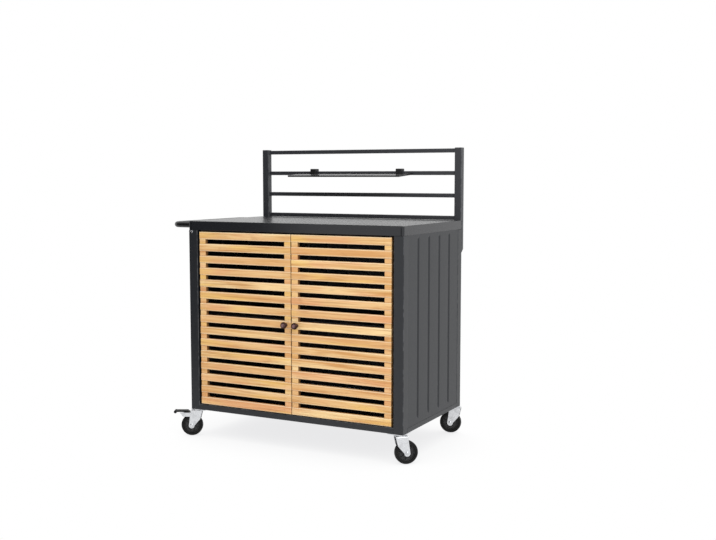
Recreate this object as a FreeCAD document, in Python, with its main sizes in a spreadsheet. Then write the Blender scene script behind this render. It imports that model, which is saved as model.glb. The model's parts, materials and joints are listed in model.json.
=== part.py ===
import FreeCAD, Part
import math
import os
import re

import Sketcher
from FreeCAD import Rotation, Vector

# Serving cart: a steel cabinet on casters with two slatted wooden doors, a push handle, a rail rack behind
# the worktop and a small shelf hung on one rail. Millimetres, +X right, +Y back, +Z up, floor at Z 0.
# Formulas use cabinet coordinates, from the cabinet's bottom front left corner, unless they say otherwise.

DIMENSIONS = {
    # alias: (value, what it is)
    "left_x": (-462, "left side of the cabinet, so that the whole cart is centred on X 0"),
    "front_y": (-284, "front of the cabinet, so that the whole cart is centred on Y 0"),
    "body_width": (1000, "cabinet width"),
    "body_depth": (585, "cabinet depth"),
    "body_height": (804, "cabinet bottom to worktop top"),
    "caster_height": (117, "floor to cabinet bottom"),
    "gauge": (1, "panel sheet thickness"),
    "worktop_gauge": (1.2, "worktop sheet thickness"),
    "lip_height": (38, "worktop's folded lip"),
    "edge_radius": (3, "worktop's rounded edges"),
    "corner_radius": (6, "worktop's rounded corners"),
    "notch_gap": (1.5, "worktop's notches clear of the rack posts"),
    "notch_depth": (4, "worktop's notches, down into its lip"),
    "tube_wall": (1.2, "wall of the square tubes"),
    "post_width": (42.5, "corner post, across the front"),
    "post_depth": (40, "corner post, along the side"),
    "front_rail_height": (25, "front and rear bottom rails"),
    "side_rail_height": (18, "side bottom rails"),
    "side_rail_width": (25, "side bottom rails"),
    "panel_recess": (1, "panels set back from the posts"),
    "groove_pitch": (104, "plank width of the pressed panels"),
    "side_grooves": (4, "pressed grooves of a side panel"),
    "back_grooves": (8, "pressed grooves of the back panel"),
    "groove_width": (12, "pressed groove at the sheet's face"),
    "groove_depth": (4, "pressed groove"),
    "groove_foot": (26, "flat sheet below the grooves"),
    "groove_head": (14, "flat sheet above the grooves"),
    "shelf_height": (390, "top of the inner shelf's rails"),
    "shelf_setback": (60, "front of the inner shelf behind the cabinet's front"),
    "shelf_rear": (5, "gap behind the inner shelf"),
    "shelf_lip": (18, "inner shelf's folded lip"),
    "shelf_rail_leg": (20, "inner shelf's angle rails"),
    "shelf_rail_gap": (8, "inner shelf's rail from the cabinet's side"),
    "door_side_gap": (10, "door to post"),
    "door_meeting_gap": (3, "between the doors"),
    "door_bottom_gap": (1.5, "bottom rail to door"),
    "door_top_gap": (6.5, "door to worktop lip"),
    "door_recess": (2, "door's face behind the cabinet's front"),
    "door_thickness": (20, "door stiles"),
    "stile_width": (30.5, "door stiles"),
    "slat_count": (15, "slats of a door"),
    "slat_height": (31, "a slat"),
    "slat_thickness": (16, "a slat"),
    "wood_round": (1.5, "rounded edges of the wood"),
    "tenon_length": (4, "slat tenon"),
    "tenon_thickness": (8, "slat tenon"),
    "tenon_shoulder": (5, "slat edge to tenon edge"),
    "pivot_inset": (10, "pivot pin from the door's hinge edge"),
    "pivot_radius": (4, "pivot pin"),
    "pivot_depth": (18, "pivot pin inside the stile"),
    "pivot_reach": (14, "pivot pin outside the stile"),
    "running_gap": (0.05, "radial clearance of pins and axles"),
    "bush_radius": (6.5, "pivot bush"),
    "bush_length": (16, "pivot bush inside the rail"),
    "bush_flange": (1.2, "pivot bush's flange thickness"),
    "flange_radius": (9, "pivot bush's flange"),
    "knob_edge": (24, "knob's centre from the meeting edge"),
    "knob_radius": (14, "door knob"),
    "knob_reach": (24, "door knob in front of the door"),
    "knob_bore": (10, "screw depth in the knob"),
    "screw_radius": (2, "knob screw"),
    "screw_gap": (0.2, "knob screw's hole clearance"),
    "strike_size": (18, "magnet strike plate"),
    "strike_gauge": (1.5, "magnet strike plate"),
    "catch_width": (30, "magnet catch"),
    "catch_height": (26, "magnet catch"),
    "free_gap": (0.3, "gap between pieces that move past each other"),
    "rack_post_width": (32, "rack post, across the back"),
    "rack_post_depth": (30, "rack post, front to back"),
    "rack_step": (10, "rack post's front before the cabinet's back plane, above the worktop"),
    "rack_top": (1113, "rack's top above the cabinet bottom"),
    "rack_foot": (665, "rack post's lower end above the cabinet bottom"),
    "rack_rail": (17.5, "rack rail"),
    "rack_rail_setback": (8, "rack rail's front behind the posts' front, clear of the worktop's flat"),
    "rack_pitch": (96, "rail to rail"),
    "rack_head": (12, "post top to the top rail's centre"),
    "tray_width": (550, "hang-on shelf"),
    "tray_depth": (142, "hang-on shelf"),
    "tray_lip": (7, "hang-on shelf's folded lip"),
    "tray_tilt": (4, "hang-on shelf's fall to the front, in degrees"),
    "tray_centre": (496, "hang-on shelf's middle from the cabinet's left side"),
    "tray_rear_gap": (2, "hang-on shelf's rear edge before the rail"),
    "tray_drop": (8.8, "hang-on shelf's rear edge below the rail's top"),
    "clip_centre": (488.5, "clips' middle from the cabinet's left side"),
    "clip_spacing": (432, "clip to clip"),
    "clip_width": (29, "hang-on clip along the rail"),
    "clip_crown": (11, "hang-on clip above the rail"),
    "clip_skirt": (4, "hang-on clip below the rail"),
    "clip_front": (8.2, "hang-on clip in front of the rail"),
    "clip_back": (6.2, "hang-on clip behind the rail"),
    "handle_radius": (12.5, "push handle tube"),
    "handle_reach": (116, "push handle beyond the cabinet's side"),
    "handle_bend": (32, "push handle's bend at the tube's centre"),
    "handle_drop": (18, "push handle's centre below the worktop"),
    "handle_arm": (38, "push handle's arms from the front and the back"),
    "handle_flange": (3, "push handle's flange thickness"),
    "handle_flange_length": (60, "push handle's flange"),
    "handle_flange_height": (30, "push handle's flange"),
    "handle_bolt_offset": (21, "flange bolt from the arm's centre"),
    "bolt_radius": (3, "frame bolt"),
    "bolt_head": (6, "frame bolt's head radius"),
    "bolt_head_height": (3.2, "frame bolt's head"),
    "bolt_length": (12, "frame bolt"),
    "bolt_gap": (0.2, "frame bolt's hole clearance"),
    "corner_bolt_side": (14, "corner bolt from the cabinet's side"),
    "corner_bolt_drop": (44.5, "corner bolt below the worktop"),
    "rack_bolt_pitch": (50, "rack bolts on a post"),
    "rack_bolt_foot": (25, "lower rack bolt above the post's end"),
    "plate_size": (68, "caster plate"),
    "plate_gauge": (3, "caster plate"),
    "plate_bolt_near": (16, "plate bolt from the nearer edge"),
    "plate_bolt_far": (58, "plate bolt from the farther edge"),
    "swivel_inset": (16, "swivel axis from the cabinet's sides"),
    "kingpin_radius": (6, "caster kingpin"),
    "kingpin_head": (10, "caster kingpin's head radius"),
    "kingpin_head_height": (3.5, "caster kingpin's head"),
    "crown_height": (111.5, "fork crown's top above the floor"),
    "fork_gauge": (3, "fork sheet"),
    "fork_half_width": (20, "fork's outer half width"),
    "fork_front": (24, "fork crown ahead of the swivel axis"),
    "fork_rear": (24, "fork crown behind the swivel axis"),
    "fork_skirt": (9, "straight upper edge of the fork's sides"),
    "fork_waist": (17, "fork's sides ahead of the swivel axis, at the bend of their front edge"),
    "fork_bend": (74, "bend of the fork's front edge above the floor"),
    "fork_foot": (12, "rounded lower end of the fork"),
    "foot_drop": (1, "fork's rounded end below the axle"),
    "arm_reach": (70, "brake arm's end behind the swivel axis"),
    "arm_top": (101, "brake arm's upper edge above the floor"),
    "arm_bottom": (84, "brake arm's lower edge above the floor"),
    "arm_nose": (14, "slope of the brake arm's end"),
    "fork_fold": (3, "fork's fold radius"),
    "cup_radius": (17, "swivel bearing cup"),
    "cup_gap": (0.6, "bearing cup to plate"),
    "trail": (20, "wheel axle behind the swivel axis"),
    "wheel_radius": (46, "caster wheel"),
    "tyre_half_width": (14, "caster tyre"),
    "rim_radius": (33, "wheel core"),
    "rim_half_width": (10, "wheel core's rim"),
    "rim_step": (3, "wheel core's rim, radially"),
    "tyre_shoulder": (1.5, "fall of the tread's rounded shoulder"),
    "web_half": (5, "wheel core's web"),
    "hub_radius": (12, "wheel core's hub"),
    "hub_half_width": (16, "wheel core's hub"),
    "axle_radius": (4, "caster axle"),
    "axle_head": (7, "caster axle's head and nut"),
    "axle_head_height": (4.5, "caster axle's head and nut"),
    "pedal_pin_radius": (2.5, "brake pedal's pin"),
    "pedal_pin_behind": (24, "brake pedal's pin behind the swivel axis"),
    "pedal_pin_height": (97, "brake pedal's pin above the floor"),
    "pedal_half_width": (13, "brake pedal"),
    "pedal_tip": (97, "brake pedal's tip behind the swivel axis"),
    "pedal_top": (109, "brake pedal's top above the floor"),
    "pedal_thick": (6.5, "brake pedal's lever"),
    "pedal_roll": (6.5, "rolled end of the brake pedal"),
    "shoe_bottom": (90.5, "brake shoe above the floor"),
    "turn_front_left": (207.5, "way the front left caster trails, in degrees from +X"),
    "turn_front_right": (41, "way the front right caster trails"),
    "turn_rear_left": (190, "way the rear left caster trails"),
    "turn_rear_right": (195, "way the rear right caster trails"),
}

doc = FreeCAD.newDocument("ServingCart")
sheet = doc.addObject("Spreadsheet::Sheet", "Dims")
for row, (alias, (value, note)) in enumerate(DIMENSIONS.items(), 1):
    sheet.set(f"A{row}", note)
    sheet.set(f"B{row}", str(value))
    sheet.setAlias(f"B{row}", alias)
doc.recompute()

nodes = []


# Formulas and placing


def formula(text):
    """A formula in the sheet's words, with each alias pointed at the sheet."""
    return re.sub(r"[a-z_]+", lambda word: "Dims." + word[0] if word[0] in DIMENSIONS else word[0], text)


def number(text):
    return float(sheet.evalExpression(formula(text)))


def bind(thing, prop, text):
    thing.setExpression(prop, formula(text))


def put(thing, at, axis=None, angle="0"):
    """Bind a place in cabinet coordinates, and a turn about an axis."""
    if axis is not None:
        thing.Placement.Rotation = Rotation(axis, number(angle))
        bind(thing, "Placement.Rotation.Angle", angle)
    starts = ("left_x", "front_y", "caster_height")
    for letter, start, text in zip("xyz", starts, at):
        bind(thing, f"Placement.Base.{letter}", f"{start} + ({text})")
    return thing


def node(thing, label):
    thing.Label = label
    nodes.append(thing)
    return thing


# Solids from primitives


def block(size, at=None):
    thing = doc.addObject("Part::Box", "Block")
    for prop, text in zip(("Length", "Width", "Height"), size):
        bind(thing, prop, text)
    return put(thing, at) if at else thing


FACING = {
    "+x": (Vector(0, 1, 0), "90"),
    "-x": (Vector(0, 1, 0), "-90"),
    "+y": (Vector(1, 0, 0), "-90"),
    "-y": (Vector(1, 0, 0), "90"),
    "+z": (Vector(0, 0, 1), "0"),
    "-z": (Vector(1, 0, 0), "180"),
}


def rod(radius, length, at, facing="+z"):
    thing = doc.addObject("Part::Cylinder", "Rod")
    bind(thing, "Radius", radius)
    bind(thing, "Height", length)
    return put(thing, at, *FACING[facing])


def join(things):
    fuse = doc.addObject("Part::MultiFuse", "Join")
    fuse.Shapes = things
    return fuse


def cut(base, tools):
    thing = doc.addObject("Part::Cut", "Cut")
    thing.Base = base
    thing.Tool = tools[0] if len(tools) == 1 else join(tools)
    return thing


def group(label, things):
    thing = doc.addObject("Part::Compound", label)
    thing.Links = things
    return node(thing, label)


def tube(size, at, along, capped=False):
    """A square tube with open ends, or with its upper end closed."""
    shrink = "2 * tube_wall"
    inner_size = [s if i == along else f"{s} - {shrink}" for i, s in enumerate(size)]
    inner_at = [a if i == along else f"{a} + tube_wall" for i, a in enumerate(at)]
    if capped:
        inner_size[along] += " - tube_wall"
    return cut(block(size, at), [block(inner_size, inner_at)])


def pan(size, at, wall):
    """A folded sheet pan, open below."""
    inner_size = [f"{size[0]} - 2 * {wall}", f"{size[1]} - 2 * {wall}", f"{size[2]} - {wall}"]
    inner_at = [f"{at[0]} + {wall}", f"{at[1]} + {wall}", at[2]]
    return cut(block(size, at), [block(inner_size, inner_at)])


def bolt(at, facing):
    """A bolt with a bevelled head, seated at a point and facing outwards."""
    head = doc.addObject("Part::Cone", "BoltHead")
    bind(head, "Radius1", "bolt_head")
    bind(head, "Radius2", "0.7 * bolt_head")
    bind(head, "Height", "bolt_head_height")
    shank = doc.addObject("Part::Cylinder", "BoltShank")
    bind(shank, "Radius", "bolt_radius")
    bind(shank, "Height", "bolt_length")
    bind(shank, "Placement.Base.z", "-bolt_length")
    return put(join([head, shank]), at, *FACING[facing])


def bolt_hole(at, facing):
    return rod("bolt_radius + bolt_gap", "bolt_length", at, facing)


# Solids from sketches


def new_body(name):
    return doc.addObject("PartDesign::Body", name)


def sketch_on(body, role, lift="0"):
    sketch = body.newObject("Sketcher::SketchObject", "Sketch")
    plane = next(f for f in body.Origin.OriginFeatures if f.Role == role)
    sketch.AttachmentSupport = [(plane, "")]
    sketch.MapMode = "FlatFace"
    bind(sketch, "AttachmentOffset.Base.z", lift)
    return sketch


def fix_point(sketch, geometry, point, x, y):
    """Dimension a sketch point from the sketch's origin."""
    for kind, text in (("DistanceX", x), ("DistanceY", y)):
        index = sketch.addConstraint(Sketcher.Constraint(kind, -1, 1, geometry, point, number(text)))
        bind(sketch, f"Constraints[{index}]", text)


def fix_radius(sketch, geometry, radius):
    index = sketch.addConstraint(Sketcher.Constraint("Radius", geometry, number(radius)))
    bind(sketch, f"Constraints[{index}]", radius)


def outline(sketch, corners):
    """A closed outline of straight lines through corners given as formulas."""
    points = [Vector(number(x), number(y), 0) for x, y in corners]
    lines = [
        sketch.addGeometry(Part.LineSegment(start, end), False)
        for start, end in zip(points, points[1:] + points[:1])
    ]
    for line, after in zip(lines, lines[1:] + lines[:1]):
        sketch.addConstraint(Sketcher.Constraint("Coincident", line, 2, after, 1))
    for line, (x, y) in zip(lines, corners):
        fix_point(sketch, line, 1, x, y)


def rectangle(sketch, low, high):
    outline(sketch, [low, (high[0], low[1]), high, (low[0], high[1])])


def circle(sketch, x, y, radius):
    centre = Vector(number(x), number(y), 0)
    ring = sketch.addGeometry(Part.Circle(centre, Vector(0, 0, 1), number(radius)), False)
    fix_point(sketch, ring, 3, x, y)
    fix_radius(sketch, ring, radius)


def extrude(body, kind, sketch, length, way="One side", backwards=False):
    feature = body.newObject(f"PartDesign::{kind}", kind)
    feature.Profile = sketch
    feature.SideType = way
    feature.Reversed = backwards
    bind(feature, "Length", length)
    doc.recompute()
    return feature


def pad(body, sketch, length, **way):
    return extrude(body, "Pad", sketch, length, **way)


def pocket(body, sketch, length, **way):
    before = body.Shape.Volume
    feature = extrude(body, "Pocket", sketch, length, **way)
    if body.Shape.Volume >= before:
        raise ValueError(f"a pocket in {body.Name} cuts nothing")
    return feature


NEAR = 0.01


def of_length(text):
    length = number(text)
    return lambda edge: abs(edge.Length - length) < NEAR


def at_height(text):
    height = number(text)
    return lambda edge: all(abs(vertex.Z - height) < NEAR for vertex in edge.Vertexes)


def soften(body, base, radius, wanted):
    """Round the edges that pass a test."""
    edges = [f"Edge{i}" for i, edge in enumerate(base.Shape.Edges, 1) if wanted(edge)]
    feature = body.newObject("PartDesign::Fillet", "Fillet")
    feature.Base = (base, edges)
    bind(feature, "Radius", radius)
    doc.recompute()
    return feature


def repeat(body, features, sketch, axis, length, count, whole=False):
    pattern = body.newObject("PartDesign::LinearPattern", "Pattern")
    if whole:
        pattern.TransformMode = "Whole shape"
    else:
        pattern.Originals = features
    pattern.Direction = (sketch, [axis])
    bind(pattern, "Length", length)
    bind(pattern, "Occurrences", count)
    body.Tip = pattern
    doc.recompute()
    return pattern


def spun(name, half_section):
    """A body turned about its own Y axis from (radius, along) corners."""
    body = new_body(name)
    sketch = sketch_on(body, "XY_Plane")
    outline(sketch, half_section)
    turn = body.newObject("PartDesign::Revolution", "Revolution")
    turn.Profile = sketch
    turn.ReferenceAxis = (sketch, ["V_Axis"])
    turn.Angle = 360
    return body


# Carcass

LIP_BOTTOM = "body_height - lip_height"
HANDLE_Z = "body_height - handle_drop"
HANDLE_ARMS = ("handle_arm", "body_depth - handle_arm")
HANDLE_BOLTS = [f"{arm} {sign} handle_bolt_offset" for arm in HANDLE_ARMS for sign in "-+"]
PIVOT_Y = "door_recess + door_thickness / 2"
PIVOT_X = {
    "left": "post_width + door_side_gap + pivot_inset",
    "right": "body_width - post_width - door_side_gap - pivot_inset",
}
RACK_POST_X = {"left": "0", "right": "body_width - rack_post_width"}
RACK_BOLT_X = {side: f"{x} + rack_post_width / 2" for side, x in RACK_POST_X.items()}
RACK_RAIL_Y = "(body_depth - rack_step + rack_rail_setback)"
RACK_BEHIND = "(rack_post_depth - rack_step)"
RACK_BOLTS_Z = ["rack_foot + rack_bolt_foot", "rack_foot + rack_bolt_foot + rack_bolt_pitch"]
CORNER_BOLT = ("corner_bolt_side", "0", "body_height - corner_bolt_drop")

# Caster plates sit flush in the corners: 1 counts from the right side or the back, 0 from the other one
CORNERS = {"front_left": (0, 0), "front_right": (1, 0), "rear_left": (0, 1), "rear_right": (1, 1)}


def corner_x(corner, inset):
    return f"body_width - {inset}" if CORNERS[corner][0] else inset


def corner_y(corner, inset):
    return f"body_depth - {inset}" if CORNERS[corner][1] else inset


def plate_bolts(corner):
    """Two bolts: one under the front or rear rail, one under the side rail."""
    return [
        (corner_x(corner, "plate_bolt_far"), corner_y(corner, "plate_bolt_near")),
        (corner_x(corner, "plate_bolt_near"), corner_y(corner, "plate_bolt_far")),
    ]


PLATE_BOLTS = {corner: plate_bolts(corner) for corner in CORNERS}


def rail_holes(corners, which):
    return [bolt_hole((*PLATE_BOLTS[corner][which], "0"), "+z") for corner in corners]


def make_worktop():
    body = new_body("Worktop")
    sheet_outline = sketch_on(body, "XY_Plane")
    rectangle(sheet_outline, ("0", "0"), ("body_width", "body_depth"))
    pad(body, sheet_outline, "lip_height")
    hollow = sketch_on(body, "XY_Plane")
    rectangle(
        hollow,
        ("worktop_gauge", "worktop_gauge"),
        ("body_width - worktop_gauge", "body_depth - worktop_gauge"),
    )
    inner_height = "lip_height - worktop_gauge"
    folded = pocket(body, hollow, inner_height, backwards=True)
    inside = soften(body, folded, "corner_radius - worktop_gauge", of_length(inner_height))
    outside = soften(body, inside, "corner_radius", of_length("lip_height"))
    soften(body, outside, "edge_radius", at_height("lip_height"))
    notches = sketch_on(body, "XY_Plane", "lip_height")
    for x in RACK_POST_X.values():
        low = (f"{x} - notch_gap", "body_depth - rack_step - notch_gap")
        rectangle(notches, low, (f"{x} + rack_post_width + notch_gap", "body_depth + notch_gap"))
    pocket(body, notches, "notch_depth")
    holes = sketch_on(body, "YZ_Plane")
    for y in HANDLE_BOLTS:
        circle(holes, y, "lip_height - handle_drop", "bolt_radius + bolt_gap")
    pocket(body, holes, "2 * worktop_gauge", backwards=True)
    put(body, ("0", "0", LIP_BOTTOM))
    node(body, "worktop")


def make_top_rails():
    height = "(lip_height - worktop_gauge)"
    depth = "(post_depth - worktop_gauge)"
    across = ("body_width - 2 * corner_radius", depth, height)
    front = tube(across, ("corner_radius", "worktop_gauge", LIP_BOTTOM), 0)
    holes = [rod("bush_radius", "2 * tube_wall", (x, PIVOT_Y, LIP_BOTTOM)) for x in PIVOT_X.values()]
    node(cut(front, holes), "top_front_rail")
    node(tube(across, ("corner_radius", "body_depth - post_depth", LIP_BOTTOM), 0), "top_rear_rail")
    along = (depth, "body_depth - 2 * post_depth", height)
    left = tube(along, ("worktop_gauge", "post_depth", LIP_BOTTOM), 1)
    inner_bolts = (HANDLE_BOLTS[1], HANDLE_BOLTS[2])
    holes = [rod("bolt_radius + bolt_gap", "2 * worktop_gauge + tube_wall", ("0", y, HANDLE_Z), "+x")
             for y in inner_bolts]
    right = tube(along, ("body_width - post_depth", "post_depth", LIP_BOTTOM), 1)
    group("top_side_rails", [cut(left, holes), right])


def make_posts():
    size = ("post_width", "post_depth", LIP_BOTTOM)
    right = "body_width - post_width"
    rear = "body_depth - post_depth"
    front_left = tube(size, ("0", "0", "0"), 2)
    corner_hole = rod("bolt_radius + bolt_gap", "2 * tube_wall", CORNER_BOLT, "+y")
    node(cut(front_left, [corner_hole]), "front_post_left")
    node(tube(size, (right, "0", "0"), 2), "front_post_right")
    for side, x in (("left", "0"), ("right", right)):
        holes = [rod("bolt_radius + bolt_gap", "2 * tube_wall", (RACK_BOLT_X[side], "body_depth", z), "-y")
                 for z in RACK_BOLTS_Z]
        node(cut(tube(size, (x, rear, "0"), 2), holes), f"rear_post_{side}")


def make_bottom_rails():
    across = ("body_width - 2 * post_width", "post_depth", "front_rail_height")
    front = tube(across, ("post_width", "0", "0"), 0)
    holes = [rod("bush_radius", "2 * tube_wall", (x, PIVOT_Y, "front_rail_height"), "-z")
             for x in PIVOT_X.values()]
    node(cut(front, holes + rail_holes(("front_left", "front_right"), 0)), "bottom_front_rail")
    rear = tube(across, ("post_width", "body_depth - post_depth", "0"), 0)
    node(cut(rear, rail_holes(("rear_left", "rear_right"), 0)), "bottom_rear_rail")
    along = ("side_rail_width", "body_depth - 2 * post_depth", "side_rail_height")
    sides = []
    for side, x in (("left", "0"), ("right", "body_width - side_rail_width")):
        rail = tube(along, (x, "post_depth", "0"), 1)
        sides.append(cut(rail, rail_holes((f"front_{side}", f"rear_{side}"), 1)))
    group("bottom_side_rails", sides)


def make_pressed_panel(label, width, height, grooves, at, turn):
    """A sheet with pressed vertical grooves: local X across, Y from the outer face inwards, Z up."""
    body = new_body(label)
    flat = sketch_on(body, "XY_Plane")
    rectangle(flat, ("0", "0"), (width, "gauge"))
    pad(body, flat, height)
    first = f"({width} - ({grooves} - 1) * groove_pitch) / 2"
    length = f"{height} - groove_foot - groove_head"
    pressed = []
    for make, depth in ((pad, "gauge"), (pocket, "0")):
        press = sketch_on(body, "XY_Plane", "groove_foot")
        edges = [(f"{first} {sign} groove_width / 2", depth) for sign in "-+"]
        outline(press, edges + [(first, f"groove_depth + {depth}")])
        pressed.append(make(body, press, length, **({"backwards": True} if make is pocket else {})))
    repeat(body, pressed, flat, "H_Axis", f"({grooves} - 1) * groove_pitch", grooves)
    node(put(body, at, Vector(0, 0, 1), turn), label)


def make_panels():
    side_width = "(body_depth - 2 * post_depth)"
    side_height = f"({LIP_BOTTOM} - side_rail_height)"
    back_width = "(body_width - 2 * post_width)"
    back_height = f"({LIP_BOTTOM} - front_rail_height)"
    left_at = ("panel_recess", "body_depth - post_depth", "side_rail_height")
    right_at = ("body_width - panel_recess", "post_depth", "side_rail_height")
    back_at = ("body_width - post_width", "body_depth - panel_recess", "front_rail_height")
    make_pressed_panel("side_panel_left", side_width, side_height, "side_grooves", left_at, "-90")
    make_pressed_panel("side_panel_right", side_width, side_height, "side_grooves", right_at, "90")
    make_pressed_panel("back_panel", back_width, back_height, "back_grooves", back_at, "180")


def make_shelves():
    inset = "(panel_recess + gauge)"
    floor_size = (f"(body_width - 2 * {inset})", "(body_depth - 2 * post_depth)",
                  "(front_rail_height - side_rail_height)")
    node(pan(floor_size, (inset, "post_depth", "side_rail_height"), "gauge"), "floor_pan")
    shelf_x = "(shelf_rail_gap + gauge)"
    shelf_depth = "(body_depth - shelf_setback - post_depth - shelf_rear)"
    shelf_size = (f"(body_width - 2 * {shelf_x})", shelf_depth, "shelf_lip")
    node(pan(shelf_size, (shelf_x, "shelf_setback", "shelf_height"), "gauge"), "inner_shelf")
    size = ("shelf_rail_leg", "body_depth - 2 * post_depth", "shelf_rail_leg")
    low = "shelf_height - shelf_rail_leg"
    rails = []
    right = "body_width - shelf_rail_gap - shelf_rail_leg"
    for x, hollow_x in (("shelf_rail_gap", "shelf_rail_gap + gauge"), (right, f"{right} - gauge")):
        hollow = ("shelf_rail_leg", size[1], "shelf_rail_leg - gauge")
        rails.append(cut(block(size, (x, "post_depth", low)), [block(hollow, (hollow_x, "post_depth", low))]))
    group("shelf_rails", rails)


# Rack, hang-on shelf and handle


def make_rack():
    for side, x in RACK_POST_X.items():
        size = ("rack_post_width", "rack_post_depth", "(rack_top - rack_foot)")
        post = tube(size, (x, "body_depth - rack_step", "rack_foot"), 2, capped=True)
        step = block(("rack_post_width", "rack_step", "body_height - worktop_gauge - rack_foot"),
                     (x, "body_depth - rack_step", "rack_foot"))
        holes = [rod("bolt_radius + bolt_gap", "rack_post_depth", (RACK_BOLT_X[side], "body_depth", z), "+y")
                 for z in RACK_BOLTS_Z]
        node(cut(post, [step] + holes), f"rack_post_{side}")
    for step, name in enumerate(("top", "second", "third", "bottom")):
        low = f"rack_top - rack_head - rack_rail / 2 - {step} * rack_pitch"
        size = ("body_width - 2 * rack_post_width", "rack_rail", "rack_rail")
        node(tube(size, ("rack_post_width", RACK_RAIL_Y, low), 0), f"rack_rail_{name}")


def make_hang_shelf():
    rail_low = "(rack_top - rack_head - rack_rail / 2 - rack_pitch)"
    size = ("tray_width", "tray_depth", "tray_lip")
    sheet_block = block(size)
    hollow = block(("tray_width - 2 * gauge", "tray_depth - gauge", "tray_lip - gauge"))
    bind(hollow, "Placement.Base.x", "gauge")
    bind(hollow, "Placement.Base.y", "gauge")
    tray = cut(sheet_block, [hollow])
    at = (
        "tray_centre - tray_width / 2",
        f"{RACK_RAIL_Y} - tray_rear_gap - tray_depth * cos(tray_tilt)",
        f"{rail_low} + rack_rail - tray_drop - tray_lip - tray_depth * sin(tray_tilt)",
    )
    node(put(tray, at, Vector(1, 0, 0), "tray_tilt"), "hang_shelf")
    clips = []
    for sign in "-+":
        x = f"clip_centre {sign} clip_spacing / 2 - clip_width / 2"
        height = "clip_skirt + rack_rail + clip_crown"
        outer = block(("clip_width", "clip_front + rack_rail + clip_back", height),
                      (x, f"{RACK_RAIL_Y} - clip_front", f"{rail_low} - clip_skirt"))
        slot = block(("clip_width", "rack_rail + 2 * free_gap", "clip_skirt + rack_rail + free_gap"),
                     (x, f"{RACK_RAIL_Y} - free_gap", f"{rail_low} - clip_skirt"))
        clips.append(cut(outer, [slot]))
    group("hang_shelf_clips", clips)


def make_handle():
    """A bent tube with a welded flange at each end, drawn at its own centre height."""
    body = new_body("HandleBar")
    out = "(handle_reach - handle_radius)"
    front, rear = HANDLE_ARMS
    path = sketch_on(body, "XY_Plane")
    x_in, x_out, r = -number("handle_flange"), -number(out), number("handle_bend")
    y_front, y_rear = number(front), number(rear)

    def at(x, y):
        return Vector(x, y, 0)

    def quarter(y, start):
        ring = Part.Circle(at(x_out + r, y), Vector(0, 0, 1), r)
        return Part.ArcOfCircle(ring, start, start + math.pi / 2)

    runs = [
        Part.LineSegment(at(x_in, y_front), at(x_out + r, y_front)),
        quarter(y_front + r, math.pi),
        Part.LineSegment(at(x_out, y_front + r), at(x_out, y_rear - r)),
        quarter(y_rear - r, math.pi / 2),
        Part.LineSegment(at(x_out + r, y_rear), at(x_in, y_rear)),
    ]
    arm_front, bend_front, bar, bend_rear, arm_rear = [path.addGeometry(run, False) for run in runs]
    for line, line_end, arc, arc_end in ((arm_front, 2, bend_front, 2), (bar, 1, bend_front, 1),
                                         (bar, 2, bend_rear, 2), (arm_rear, 1, bend_rear, 1)):
        path.addConstraint(Sketcher.Constraint("Tangent", line, line_end, arc, arc_end))
    for line, kind in ((arm_front, "Horizontal"), (bar, "Vertical"), (arm_rear, "Horizontal")):
        path.addConstraint(Sketcher.Constraint(kind, line))
    fix_point(path, arm_front, 1, "-handle_flange", front)
    fix_point(path, arm_rear, 2, "-handle_flange", rear)
    index = path.addConstraint(Sketcher.Constraint("DistanceX", -1, 1, bar, 1, x_out))
    bind(path, f"Constraints[{index}]", f"-{out}")
    for arc in (bend_front, bend_rear):
        fix_radius(path, arc, "handle_bend")
    ring = sketch_on(body, "YZ_Plane", "-handle_flange")
    circle(ring, front, "0", "handle_radius")
    circle(ring, front, "0", "handle_radius - tube_wall")
    pipe = body.newObject("PartDesign::AdditivePipe", "Pipe")
    pipe.Profile = ring
    pipe.Spine = (path, [f"Edge{i}" for i in range(1, len(runs) + 1)])
    doc.recompute()
    flanges = sketch_on(body, "YZ_Plane")
    half_length, half_height = "handle_flange_length / 2", "handle_flange_height / 2"
    for arm in HANDLE_ARMS:
        low, high = (f"{arm} - {half_length}", f"-{half_height}"), (f"{arm} + {half_length}", half_height)
        rectangle(flanges, low, high)
    for y in HANDLE_BOLTS:
        circle(flanges, y, "0", "bolt_radius + bolt_gap")
    pad(body, flanges, "handle_flange", backwards=True)
    put(body, ("0", "0", HANDLE_Z))
    node(body, "handle_bar")


# Doors

DOOR_WIDTH = "((body_width - 2 * post_width - 2 * door_side_gap - door_meeting_gap) / 2)"
DOOR_BOTTOM = "(front_rail_height + door_bottom_gap)"
DOOR_HEIGHT = f"({LIP_BOTTOM} - door_top_gap - {DOOR_BOTTOM})"
DOOR_BACK = "(door_recess + door_thickness)"
HINGE_EDGE = "(post_width + door_side_gap)"
SLAT_FALL = f"({DOOR_HEIGHT} - slat_height)"
KNOB_HEIGHT = f"({DOOR_HEIGHT} / 2)"


def door_x(side, start, width="0"):
    """X of a piece that starts at a distance from the door's hinge edge."""
    if side == "left":
        return f"{HINGE_EDGE} + {start}"
    return f"body_width - {HINGE_EDGE} - {start} - {width}"


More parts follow.
